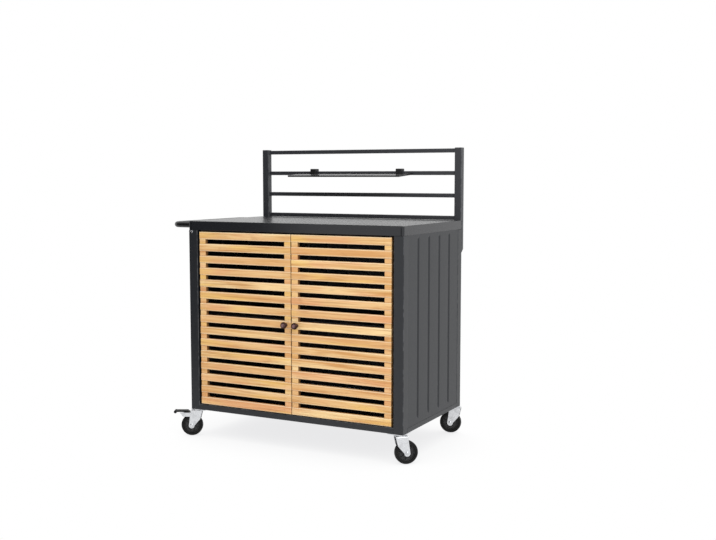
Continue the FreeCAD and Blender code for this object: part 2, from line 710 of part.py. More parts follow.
def make_stile(label, x, inner_at_right, pivots=False, knob_at=None):
    """A stile with a mortise for each slat: local X across, Y from the front, Z up."""
    body = new_body(label)
    section = sketch_on(body, "XY_Plane")
    rectangle(section, ("0", "0"), ("stile_width", "door_thickness"))
    post = pad(body, section, DOOR_HEIGHT)
    soften(body, post, "wood_round", of_length(DOOR_HEIGHT))
    middle = "slat_thickness / 2"
    mouth = sketch_on(body, "YZ_Plane", "stile_width" if inner_at_right else "0")
    rectangle(
        mouth,
        (f"{middle} - tenon_thickness / 2", "tenon_shoulder"),
        (f"{middle} + tenon_thickness / 2", "slat_height - tenon_shoulder"),
    )
    mortise = pocket(body, mouth, "tenon_length", backwards=not inner_at_right)
    repeat(body, [mortise], mouth, "V_Axis", SLAT_FALL, "slat_count")
    if pivots:
        inset = "stile_width - pivot_inset" if not inner_at_right else "pivot_inset"
        for lift, upwards in (("0", True), (DOOR_HEIGHT, False)):
            hole = sketch_on(body, "XY_Plane", lift)
            circle(hole, inset, "door_thickness / 2", "pivot_radius")
            pocket(body, hole, "pivot_depth", backwards=upwards)
    if knob_at:
        hole = sketch_on(body, "XZ_Plane")
        circle(hole, knob_at, KNOB_HEIGHT, "screw_radius + screw_gap")
        pocket(body, hole, "2 * door_thickness", way="Symmetric")
    put(body, (x, "door_recess", DOOR_BOTTOM))
    node(body, label)


def make_slats(label, x):
    """All slats of a door: one slat with its tenons, repeated up the door."""
    body = new_body(label)
    body.AllowCompound = True
    length = f"({DOOR_WIDTH} - 2 * stile_width)"
    section = sketch_on(body, "YZ_Plane")
    rectangle(section, ("0", "0"), ("slat_thickness", "slat_height"))
    plank = pad(body, section, length)
    soften(body, plank, "wood_round", of_length(length))
    tenons = sketch_on(body, "YZ_Plane", f"{length} / 2")
    rectangle(
        tenons,
        ("slat_thickness / 2 - tenon_thickness / 2", "tenon_shoulder"),
        ("slat_thickness / 2 + tenon_thickness / 2", "slat_height - tenon_shoulder"),
    )
    pad(body, tenons, f"{length} + 2 * tenon_length", way="Symmetric")
    repeat(body, [], section, "V_Axis", SLAT_FALL, "slat_count", whole=True)
    put(body, (x, "door_recess", DOOR_BOTTOM))
    node(body, label)


def make_knob(label, x):
    """A turned knob on a short neck, with a blind screw hole in its back."""
    body = spun(label, [
        ("screw_radius", "0"),
        ("0.57 * knob_radius", "0"),
        ("0.57 * knob_radius", "-0.12 * knob_reach"),
        ("0.36 * knob_radius", "-0.2 * knob_reach"),
        ("0.36 * knob_radius", "-0.42 * knob_reach"),
        ("0.86 * knob_radius", "-0.54 * knob_reach"),
        ("knob_radius", "-0.66 * knob_reach"),
        ("knob_radius", "-0.82 * knob_reach"),
        ("0.86 * knob_radius", "-0.94 * knob_reach"),
        ("0.6 * knob_radius", "-knob_reach"),
        ("0", "-knob_reach"),
        ("0", "-knob_bore"),
        ("screw_radius", "-knob_bore"),
    ])
    node(put(body, (x, "door_recess", f"{DOOR_BOTTOM} + {KNOB_HEIGHT}")), label)


def make_door(side):
    hinge_at_left = side == "left"
    meeting_start = f"({DOOR_WIDTH} - stile_width)"
    knob_local = "stile_width - knob_edge" if hinge_at_left else "knob_edge"
    knob_x = door_x(side, f"({DOOR_WIDTH} - knob_edge)")
    make_stile(f"{side}_hinge_stile", door_x(side, "0", "stile_width"), hinge_at_left, pivots=True)
    make_stile(f"{side}_meeting_stile", door_x(side, meeting_start, "stile_width"), not hinge_at_left,
               knob_at=knob_local)
    make_slats(f"{side}_slats", door_x(side, "stile_width", f"({DOOR_WIDTH} - 2 * stile_width)"))
    make_knob(f"{side}_knob", knob_x)
    pin_length = "pivot_depth + pivot_reach"
    door_top = f"{DOOR_BOTTOM} + {DOOR_HEIGHT}"
    strike_x = door_x(side, f"({DOOR_WIDTH} - stile_width / 2 - strike_size / 2)", "strike_size")
    screw = join([
        rod("screw_radius", f"{DOOR_BACK} - door_recess + knob_bore",
            (knob_x, "door_recess - knob_bore", f"{DOOR_BOTTOM} + {KNOB_HEIGHT}"), "+y"),
        rod("2 * screw_radius", "screw_radius", (knob_x, DOOR_BACK, f"{DOOR_BOTTOM} + {KNOB_HEIGHT}"), "+y"),
    ])
    group(f"{side}_door_hardware", [
        rod("pivot_radius", pin_length, (PIVOT_X[side], PIVOT_Y, f"{DOOR_BOTTOM} - pivot_reach")),
        rod("pivot_radius", pin_length, (PIVOT_X[side], PIVOT_Y, f"{door_top} - pivot_depth")),
        block(("strike_size", "strike_gauge", "strike_size"),
              (strike_x, DOOR_BACK, f"{door_top} - strike_size")),
        screw,
    ])


def make_door_seats():
    """Pivot bushes in the rails, and a magnet catch behind each door's strike plate."""
    bushes = []
    for x in PIVOT_X.values():
        for seat, facing in (("front_rail_height", "-z"), (LIP_BOTTOM, "+z")):
            flange = "+z" if facing == "-z" else "-z"
            sleeve = join([
                rod("bush_radius", "bush_length", (x, PIVOT_Y, seat), facing),
                rod("flange_radius", "bush_flange", (x, PIVOT_Y, seat), flange),
            ])
            bore = rod("pivot_radius + running_gap", "bush_length + 2 * bush_flange",
                       (x, PIVOT_Y, f"{seat} {flange[0]} 2 * bush_flange"), facing)
            bushes.append(cut(sleeve, [bore]))
    group("pivot_bushes", bushes)
    catch_y = f"{DOOR_BACK} + strike_gauge + free_gap"
    catches = []
    for side in PIVOT_X:
        x = door_x(side, f"({DOOR_WIDTH} - stile_width / 2 - catch_width / 2)", "catch_width")
        size = ("catch_width", f"post_depth - ({catch_y})", "catch_height")
        catches.append(block(size, (x, catch_y, f"{LIP_BOTTOM} - catch_height")))
    group("door_catches", catches)


# Casters: each turns about its swivel axis, and its local X points the way it trails

FLOOR = "-caster_height"
BRAKED = ("front_left", "rear_left")


def swivel(corner):
    return corner_x(corner, "swivel_inset"), corner_y(corner, "swivel_inset")


def caster_place(thing, corner, behind="0", height="0"):
    """Place a body a distance behind the swivel axis, turned to the caster's rest direction."""
    turn = f"turn_{corner}"
    x, y = swivel(corner)
    at = (f"{x} + {behind} * cos({turn})", f"{y} + {behind} * sin({turn})", f"{height} - caster_height")
    return put(thing, at, Vector(0, 0, 1), turn)


def make_caster_plates():
    plates, kingpins = [], []
    for corner in CORNERS:
        x, y = swivel(corner)
        low = corner_x(corner, "plate_size") if CORNERS[corner][0] else "0"
        near = corner_y(corner, "plate_size") if CORNERS[corner][1] else "0"
        plate = block(("plate_size", "plate_size", "plate_gauge"), (low, near, "-plate_gauge"))
        holes = [rod("bolt_radius + bolt_gap", "2 * plate_gauge", (*spot, "-2 * plate_gauge"))
                 for spot in PLATE_BOLTS[corner]]
        holes.append(rod("kingpin_radius", "2 * plate_gauge", (x, y, "-2 * plate_gauge")))
        plates.append(cut(plate, holes))
        head_low = f"{FLOOR} + crown_height - fork_gauge - kingpin_head_height - free_gap"
        kingpins.append(join([
            rod("kingpin_radius", f"-({head_low})", (x, y, head_low)),
            rod("kingpin_head", "kingpin_head_height", (x, y, head_low)),
        ]))
    group("caster_plates", plates)
    group("caster_kingpins", kingpins)


def make_fork(corner):
    braked = corner in BRAKED
    body = new_body(f"Fork_{corner}")
    side = sketch_on(body, "XZ_Plane")
    foot_height = "wheel_radius - foot_drop"
    rear_edge = [("fork_rear", "crown_height - fork_skirt")]
    if braked:
        rear_edge = [
            ("fork_rear", "arm_top"),
            ("arm_reach", "arm_top"),
            ("arm_reach - arm_nose", "arm_bottom"),
            ("fork_rear + fork_gauge", "arm_bottom"),
        ]
    outline(side, [
        ("-fork_front", "crown_height"),
        ("fork_rear", "crown_height"),
        *rear_edge,
        ("trail + fork_foot", foot_height),
        ("trail - fork_foot", foot_height),
        ("-fork_waist", "fork_bend"),
        ("-fork_front", "crown_height - fork_skirt"),
    ])
    cheeks = pad(body, side, "2 * fork_half_width", way="Symmetric")
    soften(body, cheeks, "fork_fold", of_length("fork_front + fork_rear"))
    foot = sketch_on(body, "XZ_Plane")
    circle(foot, "trail", foot_height, "fork_foot")
    pad(body, foot, "2 * fork_half_width", way="Symmetric")
    inside = sketch_on(body, "YZ_Plane")
    inner = "(fork_half_width - fork_gauge)"
    rectangle(inside, (f"-{inner}", "0"), (inner, "crown_height - fork_gauge"))
    pocket(body, inside, "8 * fork_rear", way="Symmetric")
    cup = sketch_on(body, "XY_Plane", "crown_height - fork_gauge / 2")
    circle(cup, "0", "0", "cup_radius")
    pad(body, cup, "caster_height - plate_gauge - cup_gap - crown_height + fork_gauge / 2")
    pin = sketch_on(body, "XY_Plane", "wheel_radius")
    circle(pin, "0", "0", "kingpin_radius + running_gap")
    pocket(body, pin, "caster_height", backwards=True)
    pins = sketch_on(body, "XZ_Plane")
    circle(pins, "trail", "wheel_radius", "axle_radius")
    if braked:
        circle(pins, "pedal_pin_behind", "pedal_pin_height", "pedal_pin_radius")
    pocket(body, pins, "4 * fork_half_width", way="Symmetric")
    node(caster_place(body, corner), f"caster_fork_{corner}")


def pin_section(radius, head, half, head_height):
    """Half section of a pin with a head at each end, outside a half width."""
    end = f"({half} + {head_height})"
    return [("0", f"-{end}"), (head, f"-{end}"), (head, f"-{half}"), (radius, f"-{half}"),
            (radius, half), (head, half), (head, end), ("0", end)]


def make_axle(corner):
    half = "fork_half_width"
    axle = spun(f"Axle_{corner}", pin_section("axle_radius", "axle_head", half, "axle_head_height"))
    caster_place(axle, corner, "trail", "wheel_radius")
    if corner not in BRAKED:
        node(axle, f"caster_axle_{corner}")
        return
    section = pin_section("pedal_pin_radius", "1.5 * pedal_pin_radius", half, "screw_radius")
    pin = spun(f"PedalPin_{corner}", section)
    caster_place(pin, corner, "pedal_pin_behind", "pedal_pin_height")
    group(f"caster_axle_{corner}", [axle, pin])


def make_wheel(corner):
    core_half = [
        ("axle_radius + running_gap", "hub_half_width"),
        ("hub_radius", "hub_half_width"),
        ("hub_radius", "1.4 * web_half"),
        ("rim_radius - rim_step", "web_half"),
        ("rim_radius", "rim_half_width"),
    ]
    tyre_half = [
        ("rim_radius", "0.93 * tyre_half_width"),
        ("rim_radius + 0.65 * (wheel_radius - rim_radius)", "tyre_half_width"),
        ("wheel_radius - tyre_shoulder", "0.85 * tyre_half_width"),
        ("wheel_radius - 0.27 * tyre_shoulder", "0.65 * tyre_half_width"),
        ("wheel_radius", "0.4 * tyre_half_width"),
    ]
    for label, half in ((f"caster_wheel_{corner}", core_half), (f"caster_tyre_{corner}", tyre_half)):
        mirrored = [(radius, f"-({along})") for radius, along in reversed(half)]
        body = spun(label, half + mirrored)
        node(caster_place(body, corner, "trail", "wheel_radius"), label)


def make_pedal(corner):
    body = new_body(f"Pedal_{corner}")
    lever = sketch_on(body, "XZ_Plane")
    heel, boss = "pedal_pin_behind", "2 * pedal_pin_radius"
    low, tip = "(pedal_top - pedal_thick)", "pedal_tip - pedal_roll"
    outline(lever, [
        (f"{heel} - 0.9 * {boss}", f"pedal_pin_height - 0.7 * {boss}"),
        (f"{heel} + {boss}", f"pedal_pin_height - 0.7 * {boss}"),
        (f"{heel} + 3 * {boss}", f"pedal_pin_height - 0.2 * {boss}"),
        (f"{heel} + 3.6 * {boss}", "shoe_bottom"),
        (f"{heel} + 5.2 * {boss}", "shoe_bottom"),
        (f"{heel} + 6 * {boss}", low),
        (tip, low),
        (tip, "pedal_top"),
        (f"{heel} + 3 * {boss}", "pedal_top"),
        (f"{heel} + {boss}", f"pedal_pin_height + {boss}"),
        (f"{heel} - 0.9 * {boss}", f"pedal_pin_height + {boss}"),
    ])
    pad(body, lever, "2 * pedal_half_width", way="Symmetric")
    roll = sketch_on(body, "XZ_Plane")
    circle(roll, tip, "pedal_top - 0.92 * pedal_roll", "pedal_roll")
    pad(body, roll, "2 * pedal_half_width", way="Symmetric")
    pin = sketch_on(body, "XZ_Plane")
    circle(pin, "pedal_pin_behind", "pedal_pin_height", "pedal_pin_radius + running_gap")
    pocket(body, pin, "4 * pedal_half_width", way="Symmetric")
    node(caster_place(body, corner), f"brake_pedal_{corner}")


def make_bolts():
    bolts = [bolt((*spot, "-plate_gauge"), "-z") for spots in PLATE_BOLTS.values() for spot in spots]
    bolts += [bolt(("-handle_flange", y, HANDLE_Z), "-x") for y in HANDLE_BOLTS]
    bolts.append(bolt(CORNER_BOLT, "-y"))
    group("plated_bolts", bolts)
    rack = []
    for x in RACK_BOLT_X.values():
        for z in RACK_BOLTS_Z:
            at = (x, f"body_depth + {RACK_BEHIND}", z)
            shank = rod("bolt_radius", f"{RACK_BEHIND} + bolt_length", at, "-y")
            rack.append(join([rod("bolt_head", "bolt_head_height", at, "+y"), shank]))
    group("rack_bolts", rack)


make_worktop()
make_top_rails()
make_posts()
make_bottom_rails()
make_panels()
make_shelves()
make_rack()
make_hang_shelf()
make_handle()
for door_side in PIVOT_X:
    make_door(door_side)
make_door_seats()
make_caster_plates()
for caster in CORNERS:
    make_fork(caster)
    make_axle(caster)
    make_wheel(caster)
    if caster in BRAKED:
        make_pedal(caster)
make_bolts()
doc.recompute()

# Nothing is written unless every object and every sub-part is sound

failed = [thing.Name for thing in doc.Objects if {"Invalid", "Error"} & set(thing.State)]
unsound = [part.Label for part in nodes if part.Shape.isNull() or not part.Shape.isValid()]
if failed or unsound:
    raise RuntimeError(f"failed objects {failed}, unsound sub-parts {unsound}")
os.makedirs("parts", exist_ok=True)
for part in nodes:
    part.Shape.exportStep(f"parts/{part.Label}.step")
    print(part.Label, len(part.Shape.Solids), "solids", round(part.Shape.Volume), "mm3")
whole = Part.makeCompound([part.Shape for part in nodes]).BoundBox
print("sub-parts", len(nodes), "box", whole)
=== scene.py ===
# Looks of the serving cart: a powder-coated steel cabinet with slatted wooden doors, a push handle, a rail
# rack with a hang-on shelf, and four swivel casters. Metres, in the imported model's frame.
import json
import math

import bmesh
import bpy
from mathutils import Matrix, Vector


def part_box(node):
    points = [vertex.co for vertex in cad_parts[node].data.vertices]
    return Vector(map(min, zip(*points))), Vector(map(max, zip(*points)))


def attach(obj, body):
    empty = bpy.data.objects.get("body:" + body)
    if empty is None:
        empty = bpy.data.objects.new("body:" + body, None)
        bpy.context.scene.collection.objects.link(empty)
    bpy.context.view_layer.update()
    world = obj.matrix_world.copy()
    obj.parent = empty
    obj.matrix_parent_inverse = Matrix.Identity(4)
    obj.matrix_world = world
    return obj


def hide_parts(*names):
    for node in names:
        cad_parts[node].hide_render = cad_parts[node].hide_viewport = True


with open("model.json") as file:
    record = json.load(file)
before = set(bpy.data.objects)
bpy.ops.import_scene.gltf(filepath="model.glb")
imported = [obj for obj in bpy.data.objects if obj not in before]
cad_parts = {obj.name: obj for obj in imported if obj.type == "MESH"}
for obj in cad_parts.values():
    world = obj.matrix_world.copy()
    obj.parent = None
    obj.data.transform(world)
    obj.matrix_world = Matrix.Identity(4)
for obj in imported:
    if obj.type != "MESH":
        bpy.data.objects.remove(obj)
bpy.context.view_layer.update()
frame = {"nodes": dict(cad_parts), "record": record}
cad_nodes = frame["nodes"]
record = frame["record"]

MM = 0.001
UP = Vector((0.0, 0.0, 1.0))


def corners(name):
    """Lowest and highest corner of a CAD node."""
    low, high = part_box(name)
    return Vector(low), Vector(high)


CABINET = corners("front_post_left")[0]  # the cabinet's bottom front left corner


def at(x, y, z):
    """A point in millimetres from the cabinet's bottom front left corner."""
    return CABINET + Vector((x, y, z)) * MM


def ink(red, green, blue):
    """A colour as it shows on screen, 0 to 255, in the renderer's linear values."""
    shown = [channel / 255 for channel in (red, green, blue)]
    return (*[c / 12.92 if c < 0.04045 else ((c + 0.055) / 1.055) ** 2.4 for c in shown], 1.0)


# Node sheets: one for each finish, and one for each thing that repeats


class Signal:
    """One output on a node sheet. Arithmetic on it adds Math nodes."""

    def __init__(self, sheet, socket):
        self.sheet, self.socket = sheet, socket

    def _math(self, operation, first, second):
        return self.sheet.node("ShaderNodeMath", {"operation": operation}, {0: first, 1: second})

    def __add__(self, other):
        return self._math("ADD", self, other)

    def __sub__(self, other):
        return self._math("SUBTRACT", self, other)

    def __rsub__(self, other):
        return self._math("SUBTRACT", other, self)

    def __mul__(self, other):
        return self._math("MULTIPLY", self, other)

    __radd__, __rmul__ = __add__, __mul__


class NodeSheet:
    """A node tree that is filled one node at a time."""

    def __init__(self, tree):
        self.tree = tree

    def node(self, kind, settings=(), sockets=(), output=0):
        made = self.tree.nodes.new(kind)
        for name, value in dict(settings).items():
            setattr(made, name, value)
        for name, value in dict(sockets).items():
            if isinstance(value, Signal):
                self.tree.links.new(value.socket, made.inputs[name])
            else:
                made.inputs[name].default_value = value
        return Signal(self, made.outputs[output])


class Finish(NodeSheet):
    """A material with a Principled surface; values that are the same all over are set on its own sockets."""

    def __init__(self, name, **surface):
        self.material = bpy.data.materials.new(name)
        self.material.use_nodes = True
        super().__init__(self.material.node_tree)
        self.shader = self.tree.nodes["Principled BSDF"]
        for socket, value in surface.items():
            self.shader.inputs[socket.replace("_", " ")].default_value = value
        self.place = self.node("ShaderNodeTexCoord", output="Object")

    def paint(self, socket, signal):
        self.tree.links.new(signal.socket, self.shader.inputs[socket])

    def attribute(self, name):
        return self.node("ShaderNodeAttribute", {"attribute_name": name}, output="Fac")

    def vector(self, operation, first, second):
        return self.node("ShaderNodeVectorMath", {"operation": operation}, {0: first, 1: second})

    def noise(self, scale, detail=2.0, place=None, distortion=0.0):
        sockets = {"Vector": place or self.place, "Scale": scale, "Detail": detail, "Distortion": distortion}
        return self.node("ShaderNodeTexNoise", {}, sockets)

    def fade(self, value, low, high):
        """0 at low, 1 at high, smooth between."""
        ends = {0: value, 1: low, 2: high}
        return self.node("ShaderNodeMapRange", {"interpolation_type": "SMOOTHSTEP"}, ends)

    def mix(self, share, first, second):
        return self.node("ShaderNodeMix", {"data_type": "RGBA"}, {0: share, 6: first, 7: second}, output=2)

    def upward(self):
        """1 on faces that look up, where dust settles."""
        normal = self.node("ShaderNodeNewGeometry", output="Normal")
        height = self.node("ShaderNodeSeparateXYZ", {}, {0: normal}, output="Z")
        return self.fade(height, 0.7, 0.98)

    def bump(self, height, depth):
        return self.node("ShaderNodeBump", {}, {"Distance": depth, "Height": height})


class Recipe(NodeSheet):
    """A Geometry Nodes tree with named inputs; its first input is the mesh of its carrier."""

    def __init__(self, name, **inputs):
        tree = bpy.data.node_groups.new(name, "GeometryNodeTree")
        super().__init__(tree)
        tree.interface.new_socket("Carrier", in_out="INPUT", socket_type="NodeSocketGeometry")
        self.identifiers = {}
        for label, kind in inputs.items():
            socket = tree.interface.new_socket(label, in_out="INPUT", socket_type="NodeSocket" + kind)
            self.identifiers[label] = socket.identifier
        tree.interface.new_socket("Geometry", in_out="OUTPUT", socket_type="NodeSocketGeometry")
        self.sizes = tree.nodes.new("NodeGroupInput")

    def given(self, label):
        return Signal(self, self.sizes.outputs[label])

    def random(self, low, high, salt):
        """A number for each copy, the same at every run."""
        sockets = {2: low, 3: high, 8: self.given("Seed") + salt}
        return self.node("FunctionNodeRandomValue", {"data_type": "FLOAT"}, sockets, output=1)

    def pattern(self):
        """The object that is copied."""
        return self.node("GeometryNodeObjectInfo", {}, {"Object": self.given("Pattern")}, output="Geometry")

    def close(self, instances):
        """End the tree: instances made real, with the given finish."""
        real = self.node("GeometryNodeRealizeInstances", {}, {0: instances})
        sockets = {"Geometry": real, "Material": self.given("Finish")}
        finished = self.node("GeometryNodeSetMaterial", {}, sockets)
        out = self.tree.nodes.new("NodeGroupOutput")
        self.tree.links.new(finished.socket, out.inputs[0])

    def mesh(self, name, carrier_mesh=None, **values):
        """The plain mesh that the tree gives for these sizes; the carrier and the pattern go."""
        carrier = bpy.data.objects.new(name + "_carrier", carrier_mesh or bpy.data.meshes.new(name))
        bpy.context.scene.collection.objects.link(carrier)
        modifier = carrier.modifiers.new("Recipe", "NODES")
        modifier.node_group = self.tree
        for label, value in values.items():
            modifier[self.identifiers[label]] = value
        evaluated = carrier.evaluated_get(bpy.context.evaluated_depsgraph_get())
        made = bpy.data.meshes.new_from_object(evaluated)
        bpy.data.objects.remove(carrier)
        bpy.data.objects.remove(values["Pattern"])
        return made


# Finishes; the depths are those of each surface's relief

PEEL_DEPTH, GRAIN_DEPTH, PLATE_DEPTH, FILM_DEPTH = 0.012 * MM, 0.22 * MM, 0.03 * MM, 0.02 * MM


def powder_coat(name, tone, roughness, gloss=0.5, texture=1.0):
    """Powder coat on steel: orange peel, faint clouds, paler rubbed edges and a little dust on top."""
    coat = Finish(name, Specular_IOR_Level=gloss)
    cloud = coat.noise(6.0, 4.0)
    mottle = coat.noise(90.0, 3.0)
    peel = coat.noise(750.0, 2.0)
    rubbed = coat.fade(coat.attribute("edge") * coat.noise(55.0, 5.0), 0.42, 0.62)
    dust = texture * coat.upward() * coat.fade(coat.noise(14.0, 6.0), 0.42, 0.75)
    dark, light = ([channel * share for channel in tone[:3]] + [1.0] for share in (0.82, 1.18))
    coloured = coat.mix(0.6 * cloud + 0.4 * mottle, dark, light)
    coloured = coat.mix(0.3 * rubbed, coloured, ink(112, 114, 117))
    coat.paint("Base Color", coat.mix(0.1 * dust, coloured, ink(160, 157, 150)))
    coat.paint("Roughness", roughness + 0.08 * texture * (mottle - 0.5) + 0.08 * dust - 0.05 * rubbed)
    coat.paint("Normal", coat.bump(peel + 0.5 * mottle, PEEL_DEPTH * texture))
    return coat


def board_wood(name):
    """Oiled honey hardwood with its grain along X; each board has a tone and a grain of its own. Faces marked
    inner get painted shade, and marked rounded edges a pale painted highlight.
    """
    wood = Finish(name)
    board = wood.attribute("board")
    jump = wood.node("ShaderNodeCombineXYZ", {}, {0: 13.7 * board, 1: 5.9 * board, 2: 9.3 * board})
    place = wood.vector("ADD", wood.place, jump)

    def streaks(along, across, detail, distortion=0.0):
        return wood.noise(1.0, detail, wood.vector("MULTIPLY", place, (along, across, across)), distortion)

    figure = streaks(2.6, 46.0, 4.0, 0.7)
    lines = wood.fade(streaks(5.0, 190.0, 3.0, 0.3), 0.5, 0.72)
    fibre = streaks(30.0, 900.0, 2.0)
    pores = wood.fade(streaks(22.0, 620.0, 2.0), 0.62, 0.74)
    patch = wood.fade(streaks(7.0, 22.0, 2.0, 1.0), 0.63, 0.8)
    warm = wood.fade(wood.noise(4.0, 0.0, jump), 0.35, 0.65)
    blush = wood.fade(streaks(3.4, 15.0, 2.0), 0.5, 0.68)
    honey = wood.fade(streaks(2.7, 19.0, 2.0, 0.5), 0.52, 0.7)
    coloured = wood.mix(wood.fade(figure, 0.3, 0.7), ink(253, 219, 160), ink(214, 156, 88))
    coloured = wood.mix(0.55 * warm, coloured, ink(224, 164, 102))
    coloured = wood.mix(0.45 * blush, coloured, ink(236, 164, 118))
    coloured = wood.mix(0.65 * honey, coloured, ink(248, 204, 116))
    coloured = wood.mix(0.45 * lines, coloured, ink(176, 112, 56))
    coloured = wood.mix(0.45 * patch, coloured, ink(184, 122, 72))
    coloured = wood.mix(0.3 * pores, coloured, ink(128, 80, 44))
    # painted shade: faces square to the door's width, as in the slots between slats, are mixed towards dark
    # brown
    coloured = wood.mix(0.72 * wood.attribute("inner"), coloured, ink(92, 56, 18))
    # painted highlight: the boards' marked rounded edges are mixed halfway to pale cream
    wood.paint("Base Color", wood.mix(0.5 * wood.attribute("edge"), coloured, ink(255, 236, 202)))
    wood.paint("Roughness", 0.46 + 0.16 * fibre + 0.08 * pores)
    wood.paint("Normal", wood.bump(0.6 * fibre + 0.4 * figure - 0.9 * pores - 0.4 * lines, GRAIN_DEPTH))
    return wood


def zinc_plate(name):
    """Bright zinc plate: faint spangle, dull patches and a fine relief."""
    zinc = Finish(name, Metallic=1.0)
    spangle = zinc.node("ShaderNodeTexVoronoi", {}, {"Vector": zinc.place, "Scale": 330.0}, output="Color")
    flake = zinc.node("ShaderNodeSeparateXYZ", {}, {0: spangle})
    dull = zinc.fade(zinc.noise(48.0, 4.0), 0.4, 0.75)
    coloured = zinc.mix(flake, ink(214, 216, 219), ink(232, 233, 235))
    zinc.paint("Base Color", zinc.mix(0.5 * dull, coloured, ink(188, 189, 191)))
    zinc.paint("Roughness", 0.26 + 0.1 * flake + 0.18 * dull)
    zinc.paint("Normal", zinc.bump(zinc.noise(420.0, 2.0), PLATE_DEPTH))
    return zinc


def moulded(name, tone, roughness, texture, depth, scuff, gloss=0.5):
    """Moulded rubber or plastic: fine tool texture, greyer where it is scuffed."""
    plastic = Finish(name, Specular_IOR_Level=gloss)
    grain = plastic.noise(texture, 3.0)
    scuffed = plastic.fade(plastic.noise(60.0, 6.0), 0.5, 0.8)
    plastic.paint("Base Color", plastic.mix(scuff * scuffed, tone, ink(118, 114, 108)))
    plastic.paint("Roughness", roughness + 0.1 * grain + 0.12 * scuffed)
    plastic.paint("Normal", plastic.bump(grain, depth))
    return plastic


def dark_bronze(name):
    """Dark lacquered metal, rubbed brighter in patches, with a pale painted highlight in the dish of the
    head.
    """
    bronze = Finish(name, Metallic=0.85)
    worn = bronze.fade(bronze.noise(120.0, 4.0), 0.45, 0.8)
    lacquered = bronze.mix(worn, ink(54, 36, 32), ink(96, 66, 56))
    # painted highlight: marked faces, the knob's dish, are mixed towards pale pinkish grey
    bronze.paint("Base Color", bronze.mix(0.8 * bronze.attribute("edge"), lacquered, ink(148, 116, 118)))
    bronze.paint("Roughness", 0.36 - 0.1 * worn)
    bronze.paint("Normal", bronze.bump(bronze.noise(500.0, 2.0), FILM_DEPTH))
    return bronze


def black_steel(name):
    """Black zinc plate with a cloudy film."""
    steel = Finish(name, Metallic=0.9)
    film = steel.noise(140.0, 3.0)
    steel.paint("Base Color", steel.mix(film, ink(40, 39, 42), ink(72, 69, 66)))
    steel.paint("Roughness", 0.34 + 0.16 * film)
    steel.paint("Normal", steel.bump(steel.noise(600.0, 2.0), FILM_DEPTH))
    return steel


ANTHRACITE = ink(33, 35, 39)
FINISHES = {
    "worktop_coat": powder_coat("worktop_coat", ink(31, 32, 36), roughness=0.27, gloss=0.46, texture=0.25),
    "carcass_coat": powder_coat("carcass_coat", ANTHRACITE, roughness=0.42, gloss=0.42),
    "panel_coat": powder_coat("panel_coat", ANTHRACITE, roughness=0.46, gloss=0.44),
    "rack_coat": powder_coat("rack_coat", ink(45, 46, 51), roughness=0.42),
    "tray_coat": powder_coat("tray_coat", ink(12, 12, 13), roughness=0.16, gloss=0.4, texture=0.08),
    "handle_coat": powder_coat("handle_coat", ink(24, 24, 25), roughness=0.3),
    "slat_wood": board_wood("slat_wood"),
    "stile_wood": board_wood("stile_wood"),
    "zinc_plate": zinc_plate("zinc_plate"),
    "door_steel": black_steel("door_steel"),
    "knob_metal": dark_bronze("knob_metal"),
    "tyre_rubber": moulded("tyre_rubber", ink(14, 14, 14), 0.5, 900.0, 0.06 * MM, scuff=0.06, gloss=0.2),
    "wheel_core": moulded("wheel_core", ink(30, 30, 31), 0.42, 1400.0, 0.03 * MM, scuff=0.1),
    "pedal_plastic": moulded("pedal_plastic", ink(16, 16, 16), 0.45, 1200.0, 0.04 * MM, scuff=0.08,
                             gloss=0.22),
    "clip_plastic": moulded("clip_plastic", ink(24, 24, 25), 0.42, 1200.0, 0.04 * MM, scuff=0.1, gloss=0.3),
    "catch_plastic": moulded("catch_plastic", ink(52, 50, 48), 0.45, 1200.0, 0.04 * MM, scuff=0.1),
    "bush_nylon": moulded("bush_nylon", ink(30, 30, 30), 0.4, 1500.0, 0.02 * MM, scuff=0.1),
}
SLOT_OF = {part["node"]: part["material_slot"] for part in record["subparts"]}
BODY_OF = {name: body for body, names in record["behaviour"]["bodies"].items() for name in names}
JOINTS = {joint["name"]: joint for joint in record["behaviour"]["joints"]}
for name, thing in cad_nodes.items():
    thing.data.materials.clear()
    thing.data.materials.append(FINISHES[SLOT_OF[name]].material)

# Shaping

SMOOTH_BELOW, FLAT_BELOW = math.radians(32), math.radians(1)
ARC_STEPS = 4
QUARTERS = ((1, 1), (-1, 1), (-1, -1), (1, -1))
MERGE = 0.01 * MM
RUN_SHARE = 0.45  # the most of a run that one softened corner takes


def blank():
    """An empty mesh whose faces can be marked: paler worn edges on a coat, a painted highlight on wood and in
    a knob's dish.
    """
    mesh = bmesh.new()
    mesh.faces.layers.float.new("edge")
    return mesh


def mark_wear_and_highlight(mesh, faces):
    """Marks faces for the edge mask: paler worn edges on a coat, a painted highlight on wood and in a knob's
    dish.
    """
    edge = mesh.faces.layers.float["edge"]
    for face in faces:
        face[edge] = 1.0


def dressed(name, data, node):
    """A finished piece in place of a CAD node, with its body, its finish and even shading."""
    if isinstance(data, bmesh.types.BMesh):
        bmesh.ops.recalc_face_normals(data, faces=data.faces)
        mesh = bpy.data.meshes.new(name)
        data.to_mesh(mesh)
        data.free()
    else:
        mesh = data
    mesh.materials.clear()
    mesh.materials.append(FINISHES[SLOT_OF[node]].material)
    mesh.shade_smooth()
    mesh.set_sharp_from_angle(angle=SMOOTH_BELOW)
    piece = bpy.data.objects.new(name, mesh)
    bpy.context.scene.collection.objects.link(piece)
    piece.modifiers.new("Even shading", "WEIGHTED_NORMAL").keep_sharp = True
    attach(piece, BODY_OF[node])
    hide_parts(node)


